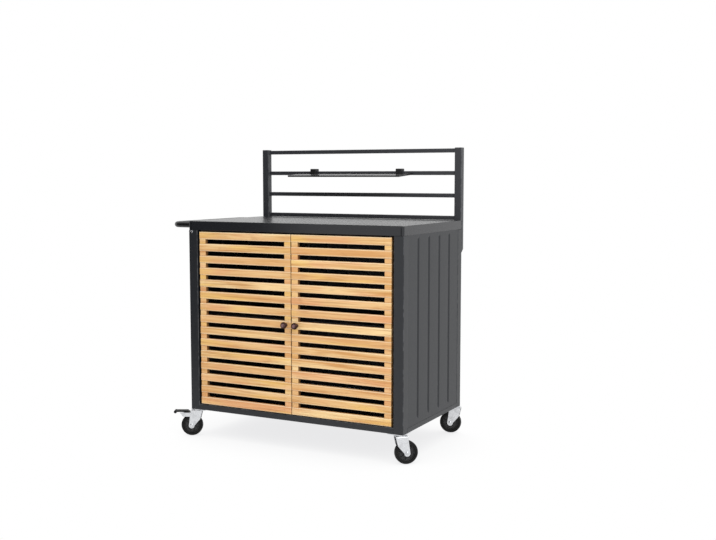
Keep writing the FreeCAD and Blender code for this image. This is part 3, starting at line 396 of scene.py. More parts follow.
def pattern(mesh):
    """An object that a recipe copies."""
    data = bpy.data.meshes.new("pattern")
    bmesh.ops.recalc_face_normals(mesh, faces=mesh.faces)
    mesh.to_mesh(data)
    mesh.free()
    thing = bpy.data.objects.new("pattern", data)
    bpy.context.scene.collection.objects.link(thing)
    return thing


def rounded_rectangle(width, height, radius):
    """Points round a rectangle about its middle, with an arc at each corner."""
    points = []
    for turn, (right, top) in enumerate(QUARTERS):
        for step in range(ARC_STEPS + 1):
            angle = math.pi / 2 * (turn + step / ARC_STEPS)
            points.append(((width / 2 - radius) * right + radius * math.cos(angle),
                           (height / 2 - radius) * top + radius * math.sin(angle)))
    return points


def loft(mesh, rings):
    """Quads between rings of points, closed at both ends."""
    rows = [[mesh.verts.new(point) for point in ring] for ring in rings]
    faces = []
    for lower, upper in zip(rows, rows[1:]):
        for i in range(len(lower)):
            j = (i + 1) % len(lower)
            faces.append(mesh.faces.new((lower[i], lower[j], upper[j], upper[i])))
    mesh.faces.new(rows[0][::-1])
    mesh.faces.new(rows[-1])
    return faces


def bar(mesh, low, high, radius, end=0.0, run=None, worn=True):
    """A bar with rounded long edges, marked or not (paler wear on a coat, a painted highlight on wood), and
    ends eased by a small amount.
    """
    size, middle = high - low, (low + high) / 2
    run = max(range(3), key=lambda axis: size[axis]) if run is None else run
    first, second = (axis for axis in range(3) if axis != run)
    stations = [(low[run], 0.0), (high[run], 0.0)]
    if end:
        stations = [(low[run], end), (low[run] + end, 0.0), (high[run] - end, 0.0), (high[run], end)]
    rings = []
    for along, inset in stations:
        section = rounded_rectangle(size[first] - 2 * inset, size[second] - 2 * inset,
                                    max(radius - inset, end / 2))
        ring = []
        for across, up in section:
            point = middle.copy()
            point[run] = along
            point[first] += across
            point[second] += up
            ring.append(point)
        rings.append(ring)
    faces = loft(mesh, rings)
    # marked edges: paler wear on a coat, a painted highlight on wood
    if worn:
        mark_wear_and_highlight(mesh, [face for i, face in enumerate(faces) if i % (ARC_STEPS + 1) != ARC_STEPS])


def lathe(mesh, profile, place, sides=64, closed=False):
    """A turned form: (radius, along) points about the local Z axis, put in place by a matrix."""
    rows = []
    for radius, along in profile:
        turns = [2 * math.pi * i / sides for i in range(sides if radius > 0 else 1)]
        rows.append([mesh.verts.new(place @ Vector((radius * math.cos(turn), radius * math.sin(turn), along)))
                     for turn in turns])
    faces = []
    for lower, upper in zip(rows, rows[1:] + rows[:1] if closed else rows[1:]):
        for i in range(sides):
            j = (i + 1) % sides
            ring = (lower[i % len(lower)], lower[j % len(lower)],
                    upper[j % len(upper)], upper[i % len(upper)])
            faces.append(mesh.faces.new(list(dict.fromkeys(ring))))
    return faces


def facing(point, axis):
    """Puts a form at a point, with its Z axis along a direction."""
    return Matrix.Translation(point) @ Vector(axis).to_track_quat("Z", "Y").to_matrix().to_4x4()


def softened(points, radius, steps=4, closed=False):
    """A path with each corner swapped for a short curve."""
    count = len(points)
    path = []
    for i, corner in enumerate(points):
        if not closed and i in (0, count - 1):
            path.append(tuple(corner))
            continue
        corner = Vector(corner)
        ways = [Vector(points[(i + step) % count]) - corner for step in (-1, 1)]
        start, end = (corner + way.normalized() * min(radius, RUN_SHARE * way.length) for way in ways)
        for step in range(steps + 1):
            share = step / steps
            path.append(tuple((1 - share) ** 2 * start + 2 * share * (1 - share) * corner + share ** 2 * end))
    return path


def eased(name, width, steps=2):
    """A CAD node with its sharp edges rounded."""
    mesh = bmesh.new()
    mesh.from_mesh(cad_nodes[name].data)
    mesh.faces.layers.float.new("edge")
    bmesh.ops.remove_doubles(mesh, verts=mesh.verts, dist=MERGE)
    bmesh.ops.dissolve_limit(mesh, angle_limit=FLAT_BELOW, verts=mesh.verts, edges=mesh.edges)
    sharp = [edge for edge in mesh.edges if edge.is_manifold and edge.calc_face_angle() > SMOOTH_BELOW]
    bevel = bmesh.ops.bevel(mesh, geom=sharp, offset=width, segments=steps, profile=0.5, affect="EDGES",
                            clamp_overlap=True)
    mark_wear_and_highlight(mesh, bevel["faces"])
    dressed(name + "_eased", mesh, name)


# Worktop: a folded sheet with rounded corners and a seam beside each, where the folds meet

BEND = 3.0 * MM
SHEET = 1.2 * MM
PLAN_RADIUS = 6.0 * MM
SEAM_FROM_CORNER, SEAM_WIDTH, SEAM_DEPTH = 4.0 * MM, 3.0 * MM, 3.2 * MM
HEM = 0.8 * MM
LIP_SLOPE = 0.3 * HEM  # the lip's underside falls a little to its outer face


def worktop_plan(size, inset, seam):
    """The worktop's outline, drawn in by an inset, with the four seams this deep."""
    half_x, half_y = size.x / 2, size.y / 2
    radius = max(PLAN_RADIUS - inset, HEM)
    points = []
    for turn, (right, back) in enumerate(QUARTERS):
        centre = Vector((right * (half_x - inset - radius), back * (half_y - inset - radius)))
        arc = [centre + radius * Vector((math.cos(angle), math.sin(angle)))
               for angle in (math.pi / 2 * (turn + step / ARC_STEPS) for step in range(ARC_STEPS + 1))]
        near = right * (half_x - PLAN_RADIUS - SEAM_FROM_CORNER)
        far = near - right * SEAM_WIDTH
        face, floor = back * (half_y - inset), back * (half_y - inset - seam)
        notch = [Vector((near, face)), Vector((near, floor)), Vector((far, floor)), Vector((far, face))]
        points += arc + notch if turn % 2 == 0 else notch[::-1] + arc
    return points


def make_worktop():
    low, high = corners("worktop")
    size, middle = high - low, (low + high) / 2
    seam_top = high.z - BEND - SEAM_WIDTH
    stations = [(SHEET, 0.0, high.z - SHEET), (SHEET, 0.0, seam_top),
                (SHEET, SEAM_DEPTH, seam_top - HEM), (SHEET, SEAM_DEPTH, low.z + LIP_SLOPE),
                (HEM, SEAM_DEPTH, low.z), (0.0, SEAM_DEPTH, low.z + HEM),
                (0.0, SEAM_DEPTH, seam_top), (0.0, 0.0, seam_top + HEM)]
    for step in range(2 * ARC_STEPS + 1):
        angle = math.pi / 2 * step / (2 * ARC_STEPS)
        stations.append((BEND * (1 - math.cos(angle)), 0.0, high.z - BEND + BEND * math.sin(angle)))
    stations.append((2 * BEND, 0.0, high.z))
    rings = [[Vector((middle.x + p.x, middle.y + p.y, height)) for p in worktop_plan(size, inset, seam)]
             for inset, seam, height in stations]
    mesh = blank()
    loft(mesh, rings)
    bmesh.ops.remove_doubles(mesh, verts=mesh.verts, dist=MERGE)
    bmesh.ops.poke(mesh, faces=[face for face in mesh.faces if len(face.verts) > 4])
    dressed("folded_worktop", mesh, "worktop")


make_worktop()

# Carcass tubes

TUBE_RADIUS, TUBE_END = 2.5 * MM, 1.2 * MM
SEAM_CLEAR = 14.0 * MM  # top rails end short of the worktop's seams
SHEET_EASE = 0.3 * MM
CORNERS = [f"{place}_{side}" for place in ("front", "rear") for side in ("left", "right")]


def make_tubes(names, end=0.0, short=0.0):
    for name in names:
        low, high = corners(name)
        trim = Vector((short, 0.0, 0.0))
        mesh = blank()
        bar(mesh, low + trim, high - trim, TUBE_RADIUS, end)
        dressed(name + "_tube", mesh, name)


make_tubes([corner.replace("_", "_post_") for corner in CORNERS], end=TUBE_END)
make_tubes(["bottom_front_rail", "bottom_rear_rail"])
make_tubes(["top_front_rail", "top_rear_rail"], short=SEAM_CLEAR)
for plain in ("floor_pan", "inner_shelf", "shelf_rails", "top_side_rails", "bottom_side_rails"):
    eased(plain, SHEET_EASE)

# Pressed panels: soft grooves that fade out above and below

GROOVE_PITCH, GROOVE_HALF, GROOVE_DEPTH = 104.0 * MM, 10.0 * MM, 4.6 * MM
GROOVE_HEAD, GROOVE_FOOT, GROOVE_FADE = 8.0 * MM, 18.0 * MM, 14.0 * MM
PANEL_SHEET = 1.0 * MM
GROOVE_STEPS = 10
FADE_STEPS = 6


def smooth(share):
    """A share, kept between 0 and 1, that leaves both ends slowly."""
    share = min(max(share, 0.0), 1.0)
    return share * share * (3 - 2 * share)


def make_panel(name, grooves, outward):
    """A sheet with vertical grooves pressed inwards from its outer face."""
    low, high = corners(name)
    outward = Vector(outward)
    across = 1 if outward.x else 0
    outer = high if sum(outward) > 0 else low
    middle = (low[across] + high[across]) / 2
    centres = [middle + (i - (grooves - 1) / 2) * GROOVE_PITCH for i in range(grooves)]
    columns = [(low[across], 0.0)]
    for centre in centres:
        for step in range(GROOVE_STEPS + 1):
            share = 2 * step / GROOVE_STEPS - 1
            columns.append((centre + share * GROOVE_HALF, GROOVE_DEPTH * smooth(1 - abs(share))))
    columns.append((high[across], 0.0))
    rising = [step / FADE_STEPS for step in range(FADE_STEPS + 1)]
    rows = [(low.z, 0.0)] + [(low.z + GROOVE_FOOT + GROOVE_FADE * share, smooth(share)) for share in rising]
    rows += [(high.z - GROOVE_HEAD - GROOVE_FADE * share, smooth(share)) for share in reversed(rising)]
    rows.append((high.z, 0.0))
    mesh = blank()
    skins = []
    for thickness in (0.0, PANEL_SHEET):
        grid = []
        for height, share in rows:
            line = []
            for place, depth in columns:
                point = outer - outward * (depth * share + thickness)
                point[across], point.z = place, height
                line.append(mesh.verts.new(point))
            grid.append(line)
        for below, above in zip(grid, grid[1:]):
            for i in range(len(columns) - 1):
                mesh.faces.new((below[i], below[i + 1], above[i + 1], above[i]))
        skins.append(grid[0] + [line[-1] for line in grid[1:-1]] + grid[-1][::-1]
                     + [line[0] for line in reversed(grid[1:-1])])
    front, back = skins
    for i in range(len(front)):
        j = (i + 1) % len(front)
        mesh.faces.new((front[i], front[j], back[j], back[i]))
    dressed(name + "_pressed", mesh, name)


make_panel("side_panel_left", grooves=4, outward=(-1, 0, 0))
make_panel("side_panel_right", grooves=4, outward=(1, 0, 0))
make_panel("back_panel", grooves=8, outward=(0, 1, 0))

# Rack: posts that step forward onto the worktop, and rails with a small weld at each end

POST_RADIUS, POST_END, RAIL_RADIUS, WELD = 3.0 * MM, 1.0 * MM, 2.5 * MM, 2.2 * MM
WELD_OUTLINE = ((1.0, 0.0), (0.45, 0.35), (0.0, 1.0))  # out from the rail and along it, as shares of the weld
FOOT_CUT = 16.0 * MM  # the posts' feet slope up to the back


def make_rack():
    top, back_plane = corners("worktop")[1].z, corners("worktop")[1].y
    for side in ("left", "right"):
        name = f"rack_post_{side}"
        low, high = corners(name)
        stations = [(low.z, back_plane, POST_END), (low.z + POST_END, back_plane, 0.0),
                    (top - BEND, back_plane, 0.0), (top, low.y, 0.0),
                    (high.z - POST_END, low.y, 0.0), (high.z, low.y, POST_END)]
        rings = []
        for height, front, inset in stations:
            section = rounded_rectangle(high.x - low.x - 2 * inset, high.y - front - 2 * inset,
                                        POST_RADIUS - inset)
            ring = [Vector(((low.x + high.x) / 2 + x, (front + high.y) / 2 + y, height)) for x, y in section]
            if height < low.z + FOOT_CUT:
                for point in ring:
                    point.z += FOOT_CUT * (point.y - back_plane) / (high.y - back_plane)
            rings.append(ring)
        mesh = blank()
        faces = loft(mesh, rings)
        mark_wear_and_highlight(mesh, [face for i, face in enumerate(faces) if i % (ARC_STEPS + 1) != ARC_STEPS])
        dressed(name + "_tube", mesh, name)
    for place in ("top", "second", "third", "bottom"):
        name = f"rack_rail_{place}"
        low, high = corners(name)
        size, middle = high - low, (low + high) / 2
        mesh = blank()
        bar(mesh, low, high, RAIL_RADIUS)
        for end, way in ((low.x, 1), (high.x, -1)):
            rings = []
            for out, along in WELD_OUTLINE:
                section = rounded_rectangle(size.y + 2 * out * WELD, size.z + 2 * out * WELD,
                                            RAIL_RADIUS + out * WELD)
                rings.append([Vector((end + way * along * WELD, middle.y + y, middle.z + z))
                              for y, z in section])
            loft(mesh, rings)
        dressed(name + "_tube", mesh, name)


make_rack()

# Hang-on shelf

TRAY_EASE, CLIP_EASE = 0.4 * MM, 2.9 * MM
eased("hang_shelf", TRAY_EASE)
eased("hang_shelf_clips", CLIP_EASE, steps=3)

# Push handle: a bent tube with a flange and a weld at each end

HANDLE_RADIUS, HANDLE_BEND = 12.5 * MM, 32.0 * MM
FLANGE_LENGTH, FLANGE_HEIGHT, FLANGE_SHEET, FLANGE_ROUND = 60.0 * MM, 30.0 * MM, 3.0 * MM, 6.0 * MM
FLANGE_OUTLINE = ((0.0, 0.0), (0.8, 0.0), (1.0, 0.5 * MM))  # share of its thickness, and inset
HANDLE_ARM = 38.0 * MM
BEND_STEPS = 14
TUBE_SIDES = 32
BEAD = ((-0.5, 0.0), (3.0, 0.0), (2.4, 1.6), (0.0, 3.2), (-0.5, 3.2))  # out from the tube and along it, mm
BEAD_ROUND = 0.8 * MM


def handle_path(low, high, height):
    """The tube's centre line and its direction: out along one arm, round two bends, and back."""
    outer, inner = low.x + HANDLE_RADIUS, CABINET.x - FLANGE_SHEET
    front = CABINET.y + HANDLE_ARM
    back = low.y + high.y - front
    path = [(Vector((inner, front, height)), Vector((-1, 0, 0)))]
    for y, start in ((front + HANDLE_BEND, 1.5 * math.pi), (back - HANDLE_BEND, math.pi)):
        for step in range(BEND_STEPS + 1):
            angle = start - math.pi / 2 * step / BEND_STEPS
            out, tangent = (Vector((math.cos(turn), math.sin(turn), 0))
                            for turn in (angle, angle - math.pi / 2))
            path.append((Vector((outer + HANDLE_BEND, y, height)) + HANDLE_BEND * out, tangent))
    path.append((Vector((inner, back, height)), Vector((1, 0, 0))))
    return path


def make_handle():
    low, high = corners("handle_bar")
    height = (low.z + high.z) / 2
    mesh = blank()
    rings = []
    path = handle_path(low, high, height)
    for point, tangent in path:
        side = tangent.cross(UP)
        rings.append([point + HANDLE_RADIUS * (side * math.cos(turn) + UP * math.sin(turn))
                      for turn in (2 * math.pi * i / TUBE_SIDES for i in range(TUBE_SIDES))])
    loft(mesh, rings)
    for point in (path[0][0], path[-1][0]):
        rings = []
        for depth, inset in FLANGE_OUTLINE:
            section = rounded_rectangle(FLANGE_LENGTH - 2 * inset, FLANGE_HEIGHT - 2 * inset,
                                        FLANGE_ROUND - inset)
            face = CABINET.x - depth * FLANGE_SHEET
            rings.append([Vector((face, point.y + y, height + z)) for y, z in section])
        loft(mesh, rings)
        bead = softened([(HANDLE_RADIUS + out * MM, along * MM) for out, along in BEAD], BEAD_ROUND)
        lathe(mesh, bead, facing(point, (-1, 0, 0)), TUBE_SIDES, closed=True)
    dressed("push_handle", mesh, "handle_bar")


make_handle()

# Doors

BOARD_ROUND = 3.4 * MM
SLATS, SLAT_HEIGHT = 15, 31.0 * MM
SLAT_WOBBLE = 0.25 * MM
JOINT, SPACER_ROUND, SPACER_RECESS = 0.3 * MM, 1.2 * MM, 0.9 * MM
END_EASE = 0.5 * MM
SPACER_TONE = 0.37  # how far a spacer's grain is from its slat's
FACES_ACROSS = 0.9  # a face as square as this to the door's width gets painted shade
KNOB_OUTLINE = ((0.0, 0.0), (0.6, 0.0), (0.6, 0.1), (0.36, 0.2), (0.34, 0.42), (0.8, 0.52), (1.0, 0.7),
                (0.94, 0.9), (0.66, 1.0), (0.5, 0.93), (0.0, 0.9))  # shares of its radius and its reach
KNOB_ROUND, DISH_DEPTH, DISH_RADIUS = 0.09, 0.12, 0.55
KNOB_SIDES = 48
CATCH_EASE, HARDWARE_EASE = 1.0 * MM, 0.3 * MM


def row_recipe():
    """Copies of a pattern in a row, each a little out of line, with a number of its own for its grain."""
    row = Recipe("row_of_copies", Pattern="Object", Start="Vector", Step="Vector", Count="Int",
                 Wobble="Float", Seed="Int", Finish="Material")
    sockets = {"Count": row.given("Count"), "Start Location": row.given("Start"), "Offset": row.given("Step")}
    places = row.node("GeometryNodeMeshLine", {"mode": "OFFSET"}, sockets)
    copies = row.node("GeometryNodeInstanceOnPoints", {}, {"Points": places, "Instance": row.pattern()})
    slip = row.node("ShaderNodeCombineXYZ", {}, {1: row.random(-1.0, 1.0, 1) * row.given("Wobble"),
                                                 2: row.random(-1.0, 1.0, 2) * row.given("Wobble")})
    copies = row.node("GeometryNodeTranslateInstances", {}, {"Instances": copies, "Translation": slip})
    own = {"Geometry": copies, "Name": "board", "Value": row.random(0.0, 1.0, 3)}
    row.close(row.node("GeometryNodeStoreNamedAttribute", {"data_type": "FLOAT", "domain": "INSTANCE"}, own))
    return row


def seat_recipe():
    """Copies of a pattern on a carrier's points, each facing out of its seat and turned about that way."""
    seats = Recipe("copies_on_seats", Pattern="Object", Scatter="Float", Seed="Int", Finish="Material")
    way = seats.node("GeometryNodeInputNamedAttribute", {"data_type": "FLOAT_VECTOR"}, {"Name": "facing"})
    spin = seats.node("GeometryNodeInputNamedAttribute", {"data_type": "FLOAT"}, {"Name": "spin"})
    turned = spin + seats.random(-1.0, 1.0, 1) * seats.given("Scatter")
    upright = seats.node("FunctionNodeAlignRotationToVector", {"axis": "Z"}, {"Vector": way})
    turn = seats.node("FunctionNodeAxisAngleToRotation", {}, {"Axis": UP, "Angle": turned})
    pose = seats.node("FunctionNodeRotateRotation", {"rotation_space": "LOCAL"},
                      {"Rotation": upright, "Rotate By": turn})
    sockets = {"Points": seats.given("Carrier"), "Instance": seats.pattern(), "Rotation": pose}
    seats.close(seats.node("GeometryNodeInstanceOnPoints", {}, sockets))
    return seats


def seat_mesh(seats):
    """A carrier for that recipe, from points, ways and turns."""
    carrier = bpy.data.meshes.new("seats")
    carrier.from_pydata([point for point, way, spin in seats], [], [])
    ways = carrier.attributes.new("facing", "FLOAT_VECTOR", "POINT")
    ways.data.foreach_set("vector", [part for point, way, spin in seats for part in way])
    spins = carrier.attributes.new("spin", "FLOAT", "POINT")
    spins.data.foreach_set("value", [spin for point, way, spin in seats])
    return carrier


copies_in_row = row_recipe()
copies_on_seats = seat_recipe()


def make_stile(name, tones, pitch):
    """A stile that shows the slats' ends, with a spacer between each two; faces across the door are marked
    for painted shade, and the ends' rounded edges for a painted highlight.
    """
    low, high = corners(name)
    mesh = blank()
    board = mesh.verts.layers.float.new("board")
    across = mesh.faces.layers.float.new("inner")
    for i in range(2 * len(tones) - 1):
        slat, spacer = divmod(i, 2)
        foot = low.z + slat * pitch + spacer * SLAT_HEIGHT
        height = pitch - SLAT_HEIGHT if spacer else SLAT_HEIGHT
        inset = Vector((spacer * SPACER_RECESS, spacer * SPACER_RECESS, JOINT / 2))
        known = set(mesh.verts)
        bar(mesh, Vector((low.x, low.y, foot)) + inset, Vector((high.x, high.y, foot + height)) - inset,
            SPACER_ROUND if spacer else BOARD_ROUND, END_EASE, run=0, worn=not spacer)
        for vert in mesh.verts:
            if vert not in known:
                vert[board] = tones[slat] + SPACER_TONE * spacer
    # painted shade: faces square to the door's width are marked inner, and the wood darkens them
    for face in mesh.faces:
        face.normal_update()
        face[across] = float(abs(face.normal.x) > FACES_ACROSS)
    dressed(name + "_board", mesh, name)


def make_door(side, seed):
    stiles = [f"{side}_hinge_stile", f"{side}_meeting_stile"]
    low, high = corners(f"{side}_slats")
    between = sorted(x for name in stiles for x in (corners(name)[0].x, corners(name)[1].x))[1:3]
    board = blank()
    bar(board, Vector((between[0], low.y, 0.0)), Vector((between[1], high.y, SLAT_HEIGHT)), BOARD_ROUND)
    pitch = (high.z - low.z - SLAT_HEIGHT) / (SLATS - 1)
    made = copies_in_row.mesh(f"{side}_slats", Pattern=pattern(board), Start=(0.0, 0.0, low.z),
                              Step=(0.0, 0.0, pitch), Count=SLATS, Wobble=SLAT_WOBBLE, Seed=seed,
                              Finish=FINISHES["slat_wood"].material)
    tones = [value.value for value in made.attributes["board"].data][::len(made.vertices) // SLATS]
    dressed(f"{side}_slat_stack", made, f"{side}_slats")
    for name in stiles:
        make_stile(name, tones, pitch)
    make_knob(f"{side}_knob")


def make_knob(name):
    """A turned knob: rosette, waisted neck and a dished round head."""
    low, high = corners(name)
    radius, reach = (high.x - low.x) / 2, high.y - low.y
    base = Vector(((low.x + high.x) / 2, high.y, (low.z + high.z) / 2))
    mesh = blank()
    outline = [(out * radius, along * reach) for out, along in KNOB_OUTLINE]
    profile = softened(outline, KNOB_ROUND * reach, steps=5)
    faces = lathe(mesh, profile, facing(base, (0, -1, 0)), KNOB_SIDES)
    # painted highlight: the faces of the dish are marked, and the knob's finish paints them paler
    for face in faces:
        middle = face.calc_center_median()
        if middle.y < low.y + DISH_DEPTH * reach and (middle - base).xz.length < DISH_RADIUS * radius:
            mark_wear_and_highlight(mesh, [face])
    dressed(name + "_turned", mesh, name)


make_door("left", seed=1)
make_door("right", seed=2)
eased("door_catches", CATCH_EASE)
for small in ("left_door_hardware", "right_door_hardware", "pivot_bushes"):
    eased(small, HARDWARE_EASE)

# Casters

RIM, TYRE_HALF, TYRE_ROUND = 33.0 * MM, 14.0 * MM, 1.2 * MM
TYRE_FROM_RIM = ((0.0, 0.93), (1.5, 0.97), (4.0, 1.0), (4.6, 0.95))  # mm, and share of the half width
TYRE_FROM_TREAD = ((5.0, 1.0), (1.5, 0.86), (0.0, 0.45))
TYRE_SIDES, PIN_SIDES = 72, 32
CORE_SIDE = ((4.05, 16.0), (9.0, 16.0), (11.5, 14.5), (12.0, 7.5), (15.0, 6.0), (26.0, 5.0), (29.0, 6.0),
             (30.5, 10.0), (33.0, 10.0))  # radius and half width from the bore to the rim, mm
CORE_ROUND = 1.0 * MM
RIBS = 8
RIB_LOW, RIB_HIGH, RIB_ROUND = Vector((11.0, -1.4, -9.0)) * MM, Vector((30.5, 1.4, 9.0)) * MM, 0.7 * MM
FORK_HALF = 20.0 * MM
AXLE, PEDAL_PIN = (4.0, 7.0, 4.5), (2.5, 3.75, 2.0)  # radius, head's radius and head's height, mm
RIVET = ((1.0, 0.0), (1.0, 0.3), (0.75, 0.8), (0.3, 1.0), (0.0, 1.0))  # shares of the head's two sizes
RIVET_ROUND = 0.15
STEEL_EASE, PEDAL_EASE = 0.6 * MM, 1.2 * MM


def both_sides(side):
    """A closed outline from its half on one side."""
    return side + [(radius, -along) for radius, along in reversed(side)]


def make_wheel(corner):
    """A moulded core with a dished web, and a rubber tyre with rounded shoulders and a moulded ring."""
    joint = JOINTS[f"wheel_{corner}"]
    hub, axle = Vector(joint["pos_m"]), Vector(joint["axis"])
    tyre, core = f"caster_tyre_{corner}", f"caster_wheel_{corner}"
    outer = hub.z - corners(tyre)[0].z
    side = [(RIM + out * MM, share * TYRE_HALF) for out, share in TYRE_FROM_RIM]
    side += [(outer - down * MM, share * TYRE_HALF) for down, share in TYRE_FROM_TREAD]
    mesh = blank()
    profile = softened(both_sides(side), TYRE_ROUND, closed=True)
    lathe(mesh, profile, facing(hub, axle), TYRE_SIDES, closed=True)
    dressed(f"tyre_{corner}", mesh, tyre)
    side = [(radius * MM, half * MM) for radius, half in CORE_SIDE]
    mesh = blank()
    profile = softened(both_sides(side), CORE_ROUND, steps=3, closed=True)
    lathe(mesh, profile, facing(hub, axle), closed=True)
    rib = blank()
    bar(rib, RIB_LOW, RIB_HIGH, RIB_ROUND, run=0)
    seats = [(hub, axle, 2 * math.pi * i / RIBS) for i in range(RIBS)]
    ribs = copies_on_seats.mesh(core + "_ribs", seat_mesh(seats), Pattern=pattern(rib), Scatter=0.0, Seed=0,
                                Finish=FINISHES["wheel_core"].material)
    mesh.from_mesh(ribs)
    dressed(f"wheel_core_{corner}", mesh, core)


def make_axle(corner):
    """A riveted axle, and on a braked caster the pedal's pin."""
    mesh = blank()
    pins = {f"wheel_{corner}": AXLE, f"brake_{corner}": PEDAL_PIN}
    for name, sizes in pins.items():
        if name not in JOINTS:
            continue
        joint = JOINTS[name]
        radius, head, height = (size * MM for size in sizes)
        side = [(radius, 0.0), (radius, FORK_HALF)]
        side += [(out * head, FORK_HALF + along * height) for out, along in RIVET]
        outline = [(out, -along) for out, along in reversed(side[1:])] + side
        place = facing(Vector(joint["pos_m"]), joint["axis"])
        lathe(mesh, softened(outline, RIVET_ROUND * head, steps=3), place, PIN_SIDES)
    dressed(f"axle_{corner}", mesh, f"caster_axle_{corner}")


for corner in CORNERS:
    make_wheel(corner)
    make_axle(corner)
    eased(f"caster_fork_{corner}", STEEL_EASE)
for corner in ("front_left", "rear_left"):
    eased(f"brake_pedal_{corner}", PEDAL_EASE, steps=3)
for small in ("caster_plates", "caster_kingpins"):
    eased(small, STEEL_EASE)

# Bolts

BOLT_RADIUS, BOLT_LENGTH = 3.0 * MM, 12.0 * MM
BOLT_SIDES = 18


def bolt_ring(radius, height, hexagon=False):
    """A round or six-sided ring of points about the Z axis."""
    ring = []
    for i in range(BOLT_SIDES):
        turn = 2 * math.pi * i / BOLT_SIDES
        reach = radius
        if hexagon:
            reach *= math.cos(math.pi / 6) / math.cos((turn + math.pi / 6) % (math.pi / 3) - math.pi / 6)
        ring.append(Vector((reach * math.cos(turn), reach * math.sin(turn), height)))
    return ring


def bolt_form(head):
    """A bolt that stands on the XY plane; the head is rows of radius, height and six-sided or not."""
    mesh = blank()
    rings = [bolt_ring(BOLT_RADIUS, -BOLT_LENGTH), bolt_ring(BOLT_RADIUS, 0.0)]
    loft(mesh, rings + [bolt_ring(radius * MM, height * MM, hexagon) for radius, height, hexagon in head])
    return pattern(mesh)


HEX_FLANGE = ((6.0, 0.0, False), (6.0, 0.5, False), (5.5, 0.9, False), (5.0, 1.0, True), (5.0, 2.6, True),
              (4.2, 3.2, False), (2.4, 3.2, False), (2.2, 3.0, False))
SOCKET_DOME = ((6.0, 0.0, False), (6.0, 0.5, False), (5.7, 1.5, False), (4.9, 2.4, False), (3.8, 3.0, False),
               (2.6, 3.2, False), (2.3, 3.1, True), (2.3, 1.4, True))
# Where the bolts sit, mm from the cabinet's bottom front left corner
WIDTH, DEPTH = 1000.0, 585.0
PLATE_NEAR, PLATE_FAR, PLATE_GAUGE = 16.0, 58.0, 3.0
HANDLE_ARMS, HANDLE_BOLTS = (38.0, DEPTH - 38.0), (-21.0, 21.0)
HANDLE_BOLT_HEIGHT, HANDLE_FLANGE = 786.0, 3.0
CORNER_BOLT = (14.0, 0.0, 759.5)
RACK_BOLTS_X, RACK_BOLTS_Z, RACK_BACK = (16.0, WIDTH - 16.0), (690.0, 740.0), DEPTH + 20.0


def make_bolts():
    plated = []
    for x, across in ((0.0, 1.0), (WIDTH, -1.0)):
        for y, along in ((0.0, 1.0), (DEPTH, -1.0)):
            for out, back in ((PLATE_FAR, PLATE_NEAR), (PLATE_NEAR, PLATE_FAR)):
                plated.append((at(x + across * out, y + along * back, -PLATE_GAUGE), Vector((0, 0, -1)), 0.0))
    for arm in HANDLE_ARMS:
        plated += [(at(-HANDLE_FLANGE, arm + offset, HANDLE_BOLT_HEIGHT), Vector((-1, 0, 0)), 0.0)
                   for offset in HANDLE_BOLTS]
    plated.append((at(*CORNER_BOLT), Vector((0, -1, 0)), 0.0))
    rack = [(at(x, RACK_BACK, z), Vector((0, 1, 0)), 0.0) for x in RACK_BOLTS_X for z in RACK_BOLTS_Z]
    for name, seats, head in (("plated_bolts", plated, HEX_FLANGE), ("rack_bolts", rack, SOCKET_DOME)):
        made = copies_on_seats.mesh(name, seat_mesh(seats), Pattern=bolt_form(head), Scatter=math.pi, Seed=5,
                                    Finish=FINISHES[SLOT_OF[name]].material)
        dressed(name + "_set", made, name)


make_bolts()

# Camera, floor and light

IMAGE_WIDTH = 716
FOCAL_PIXELS = 1019.92
PITCH, YAW = 5.2456, 27.525
CAMERA_SPOT = at(2620.5, -3484.3, 990.75)
SENSOR_WIDTH = 36.0

camera = bpy.data.objects.new("camera", bpy.data.cameras.new("camera"))
bpy.context.scene.collection.objects.link(camera)
camera.location = CAMERA_SPOT
camera.rotation_euler = (math.radians(90 - PITCH), 0.0, math.radians(YAW))
camera.data.sensor_width = SENSOR_WIDTH
camera.data.lens = FOCAL_PIXELS / IMAGE_WIDTH * SENSOR_WIDTH
bpy.context.scene.camera = camera
bpy.context.scene.view_settings.view_transform = "Standard"


def seen(sheet):
    """1 for rays from the camera, and for those that a shiny or clear surface sends on."""
    rays = sheet.tree.nodes.new("ShaderNodeLightPath")
    shown = [Signal(sheet, rays.outputs[f"Is {kind} Ray"]) for kind in ("Camera", "Glossy", "Transmission")]
    total = shown[0] + shown[1] + shown[2]
    return sheet.node("ShaderNodeClamp", {}, {0: total})


WHITE, FLOOR_WHITE, FLOOR_SHADE = (1.0, 1.0, 1.0, 1.0), (0.9, 0.9, 0.9, 1.0), (0.8, 0.8, 0.81, 1.0)
SKY_LIGHT = 0.8
world = bpy.data.worlds.new("studio")
bpy.context.scene.world = world
world.use_nodes = True
sky = NodeSheet(world.node_tree)
backdrop = world.node_tree.nodes["Background"]
backdrop.inputs["Color"].default_value = WHITE
level = SKY_LIGHT + (1.0 - SKY_LIGHT) * seen(sky)
world.node_tree.links.new(level.socket, backdrop.inputs["Strength"])

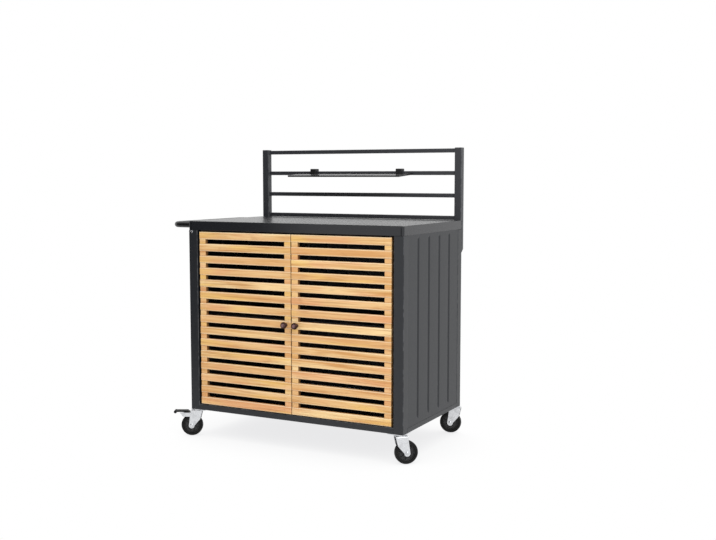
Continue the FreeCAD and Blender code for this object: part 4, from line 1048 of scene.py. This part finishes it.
FLOOR_REACH, SHADE_REACH = 30.0, 0.5
floor_mesh = bpy.data.meshes.new("floor")
floor_mesh.from_pydata([(x * FLOOR_REACH, y * FLOOR_REACH, 0) for x, y in QUARTERS], [], [(0, 1, 2, 3)])
floor = bpy.data.objects.new("floor", floor_mesh)
bpy.context.scene.collection.objects.link(floor)
paint = Finish("floor_paint", Base_Color=FLOOR_WHITE, Roughness=0.9, Specular_IOR_Level=0.0)
# painted shadow: the floor's glow, seen by camera and reflection rays, is darker where ambient occlusion
# finds the cart close
open_sky = paint.node("ShaderNodeAmbientOcclusion", {"samples": 16}, {"Distance": SHADE_REACH}, output="AO")
shade = paint.mix(paint.fade(open_sky, 0.0, 0.85), FLOOR_SHADE, WHITE)
glow = paint.node("ShaderNodeEmission", {}, {"Color": shade})
lit = Signal(paint, paint.shader.outputs[0])
surface = paint.node("ShaderNodeMixShader", {}, {0: seen(paint), 1: lit, 2: glow})
paint.tree.links.new(surface.socket, paint.tree.nodes["Material Output"].inputs["Surface"])
floor_mesh.materials.append(paint.material)

# A dark card that only reflections see, so that the coat is darker to the left

FLAG_FOOT, FLAG_HEIGHT = [at(-150.0, -1000.0, -110.0), at(-2600.0, -1000.0, -110.0)], 2.4
FLAG_BLACK = (0.01, 0.01, 0.01, 1.0)
flag_mesh = bpy.data.meshes.new("flag")
flag_mesh.from_pydata(FLAG_FOOT + [point + FLAG_HEIGHT * UP for point in reversed(FLAG_FOOT)], [],
                      [(0, 1, 2, 3)])
flag = bpy.data.objects.new("flag", flag_mesh)
bpy.context.scene.collection.objects.link(flag)
flag.visible_camera = flag.visible_diffuse = flag.visible_shadow = flag.visible_transmission = False
cloth = Finish("flag_cloth", Base_Color=FLAG_BLACK, Roughness=1.0, Specular_IOR_Level=0.0)
flag_mesh.materials.append(cloth.material)


def lamp(name, spot, target, size, power):
    """A round area lamp that looks at a target."""
    data = bpy.data.lights.new(name, "AREA")
    data.shape, data.size, data.energy = "DISK", size, power
    thing = bpy.data.objects.new(name, data)
    bpy.context.scene.collection.objects.link(thing)
    thing.location = spot
    thing.rotation_euler = (Vector(spot) - Vector(target)).to_track_quat("Z", "Y").to_euler()


lamp("key", spot=(3.2, -2.2, 3.4), target=(0.0, 0.0, 0.6), size=2.4, power=90.0)
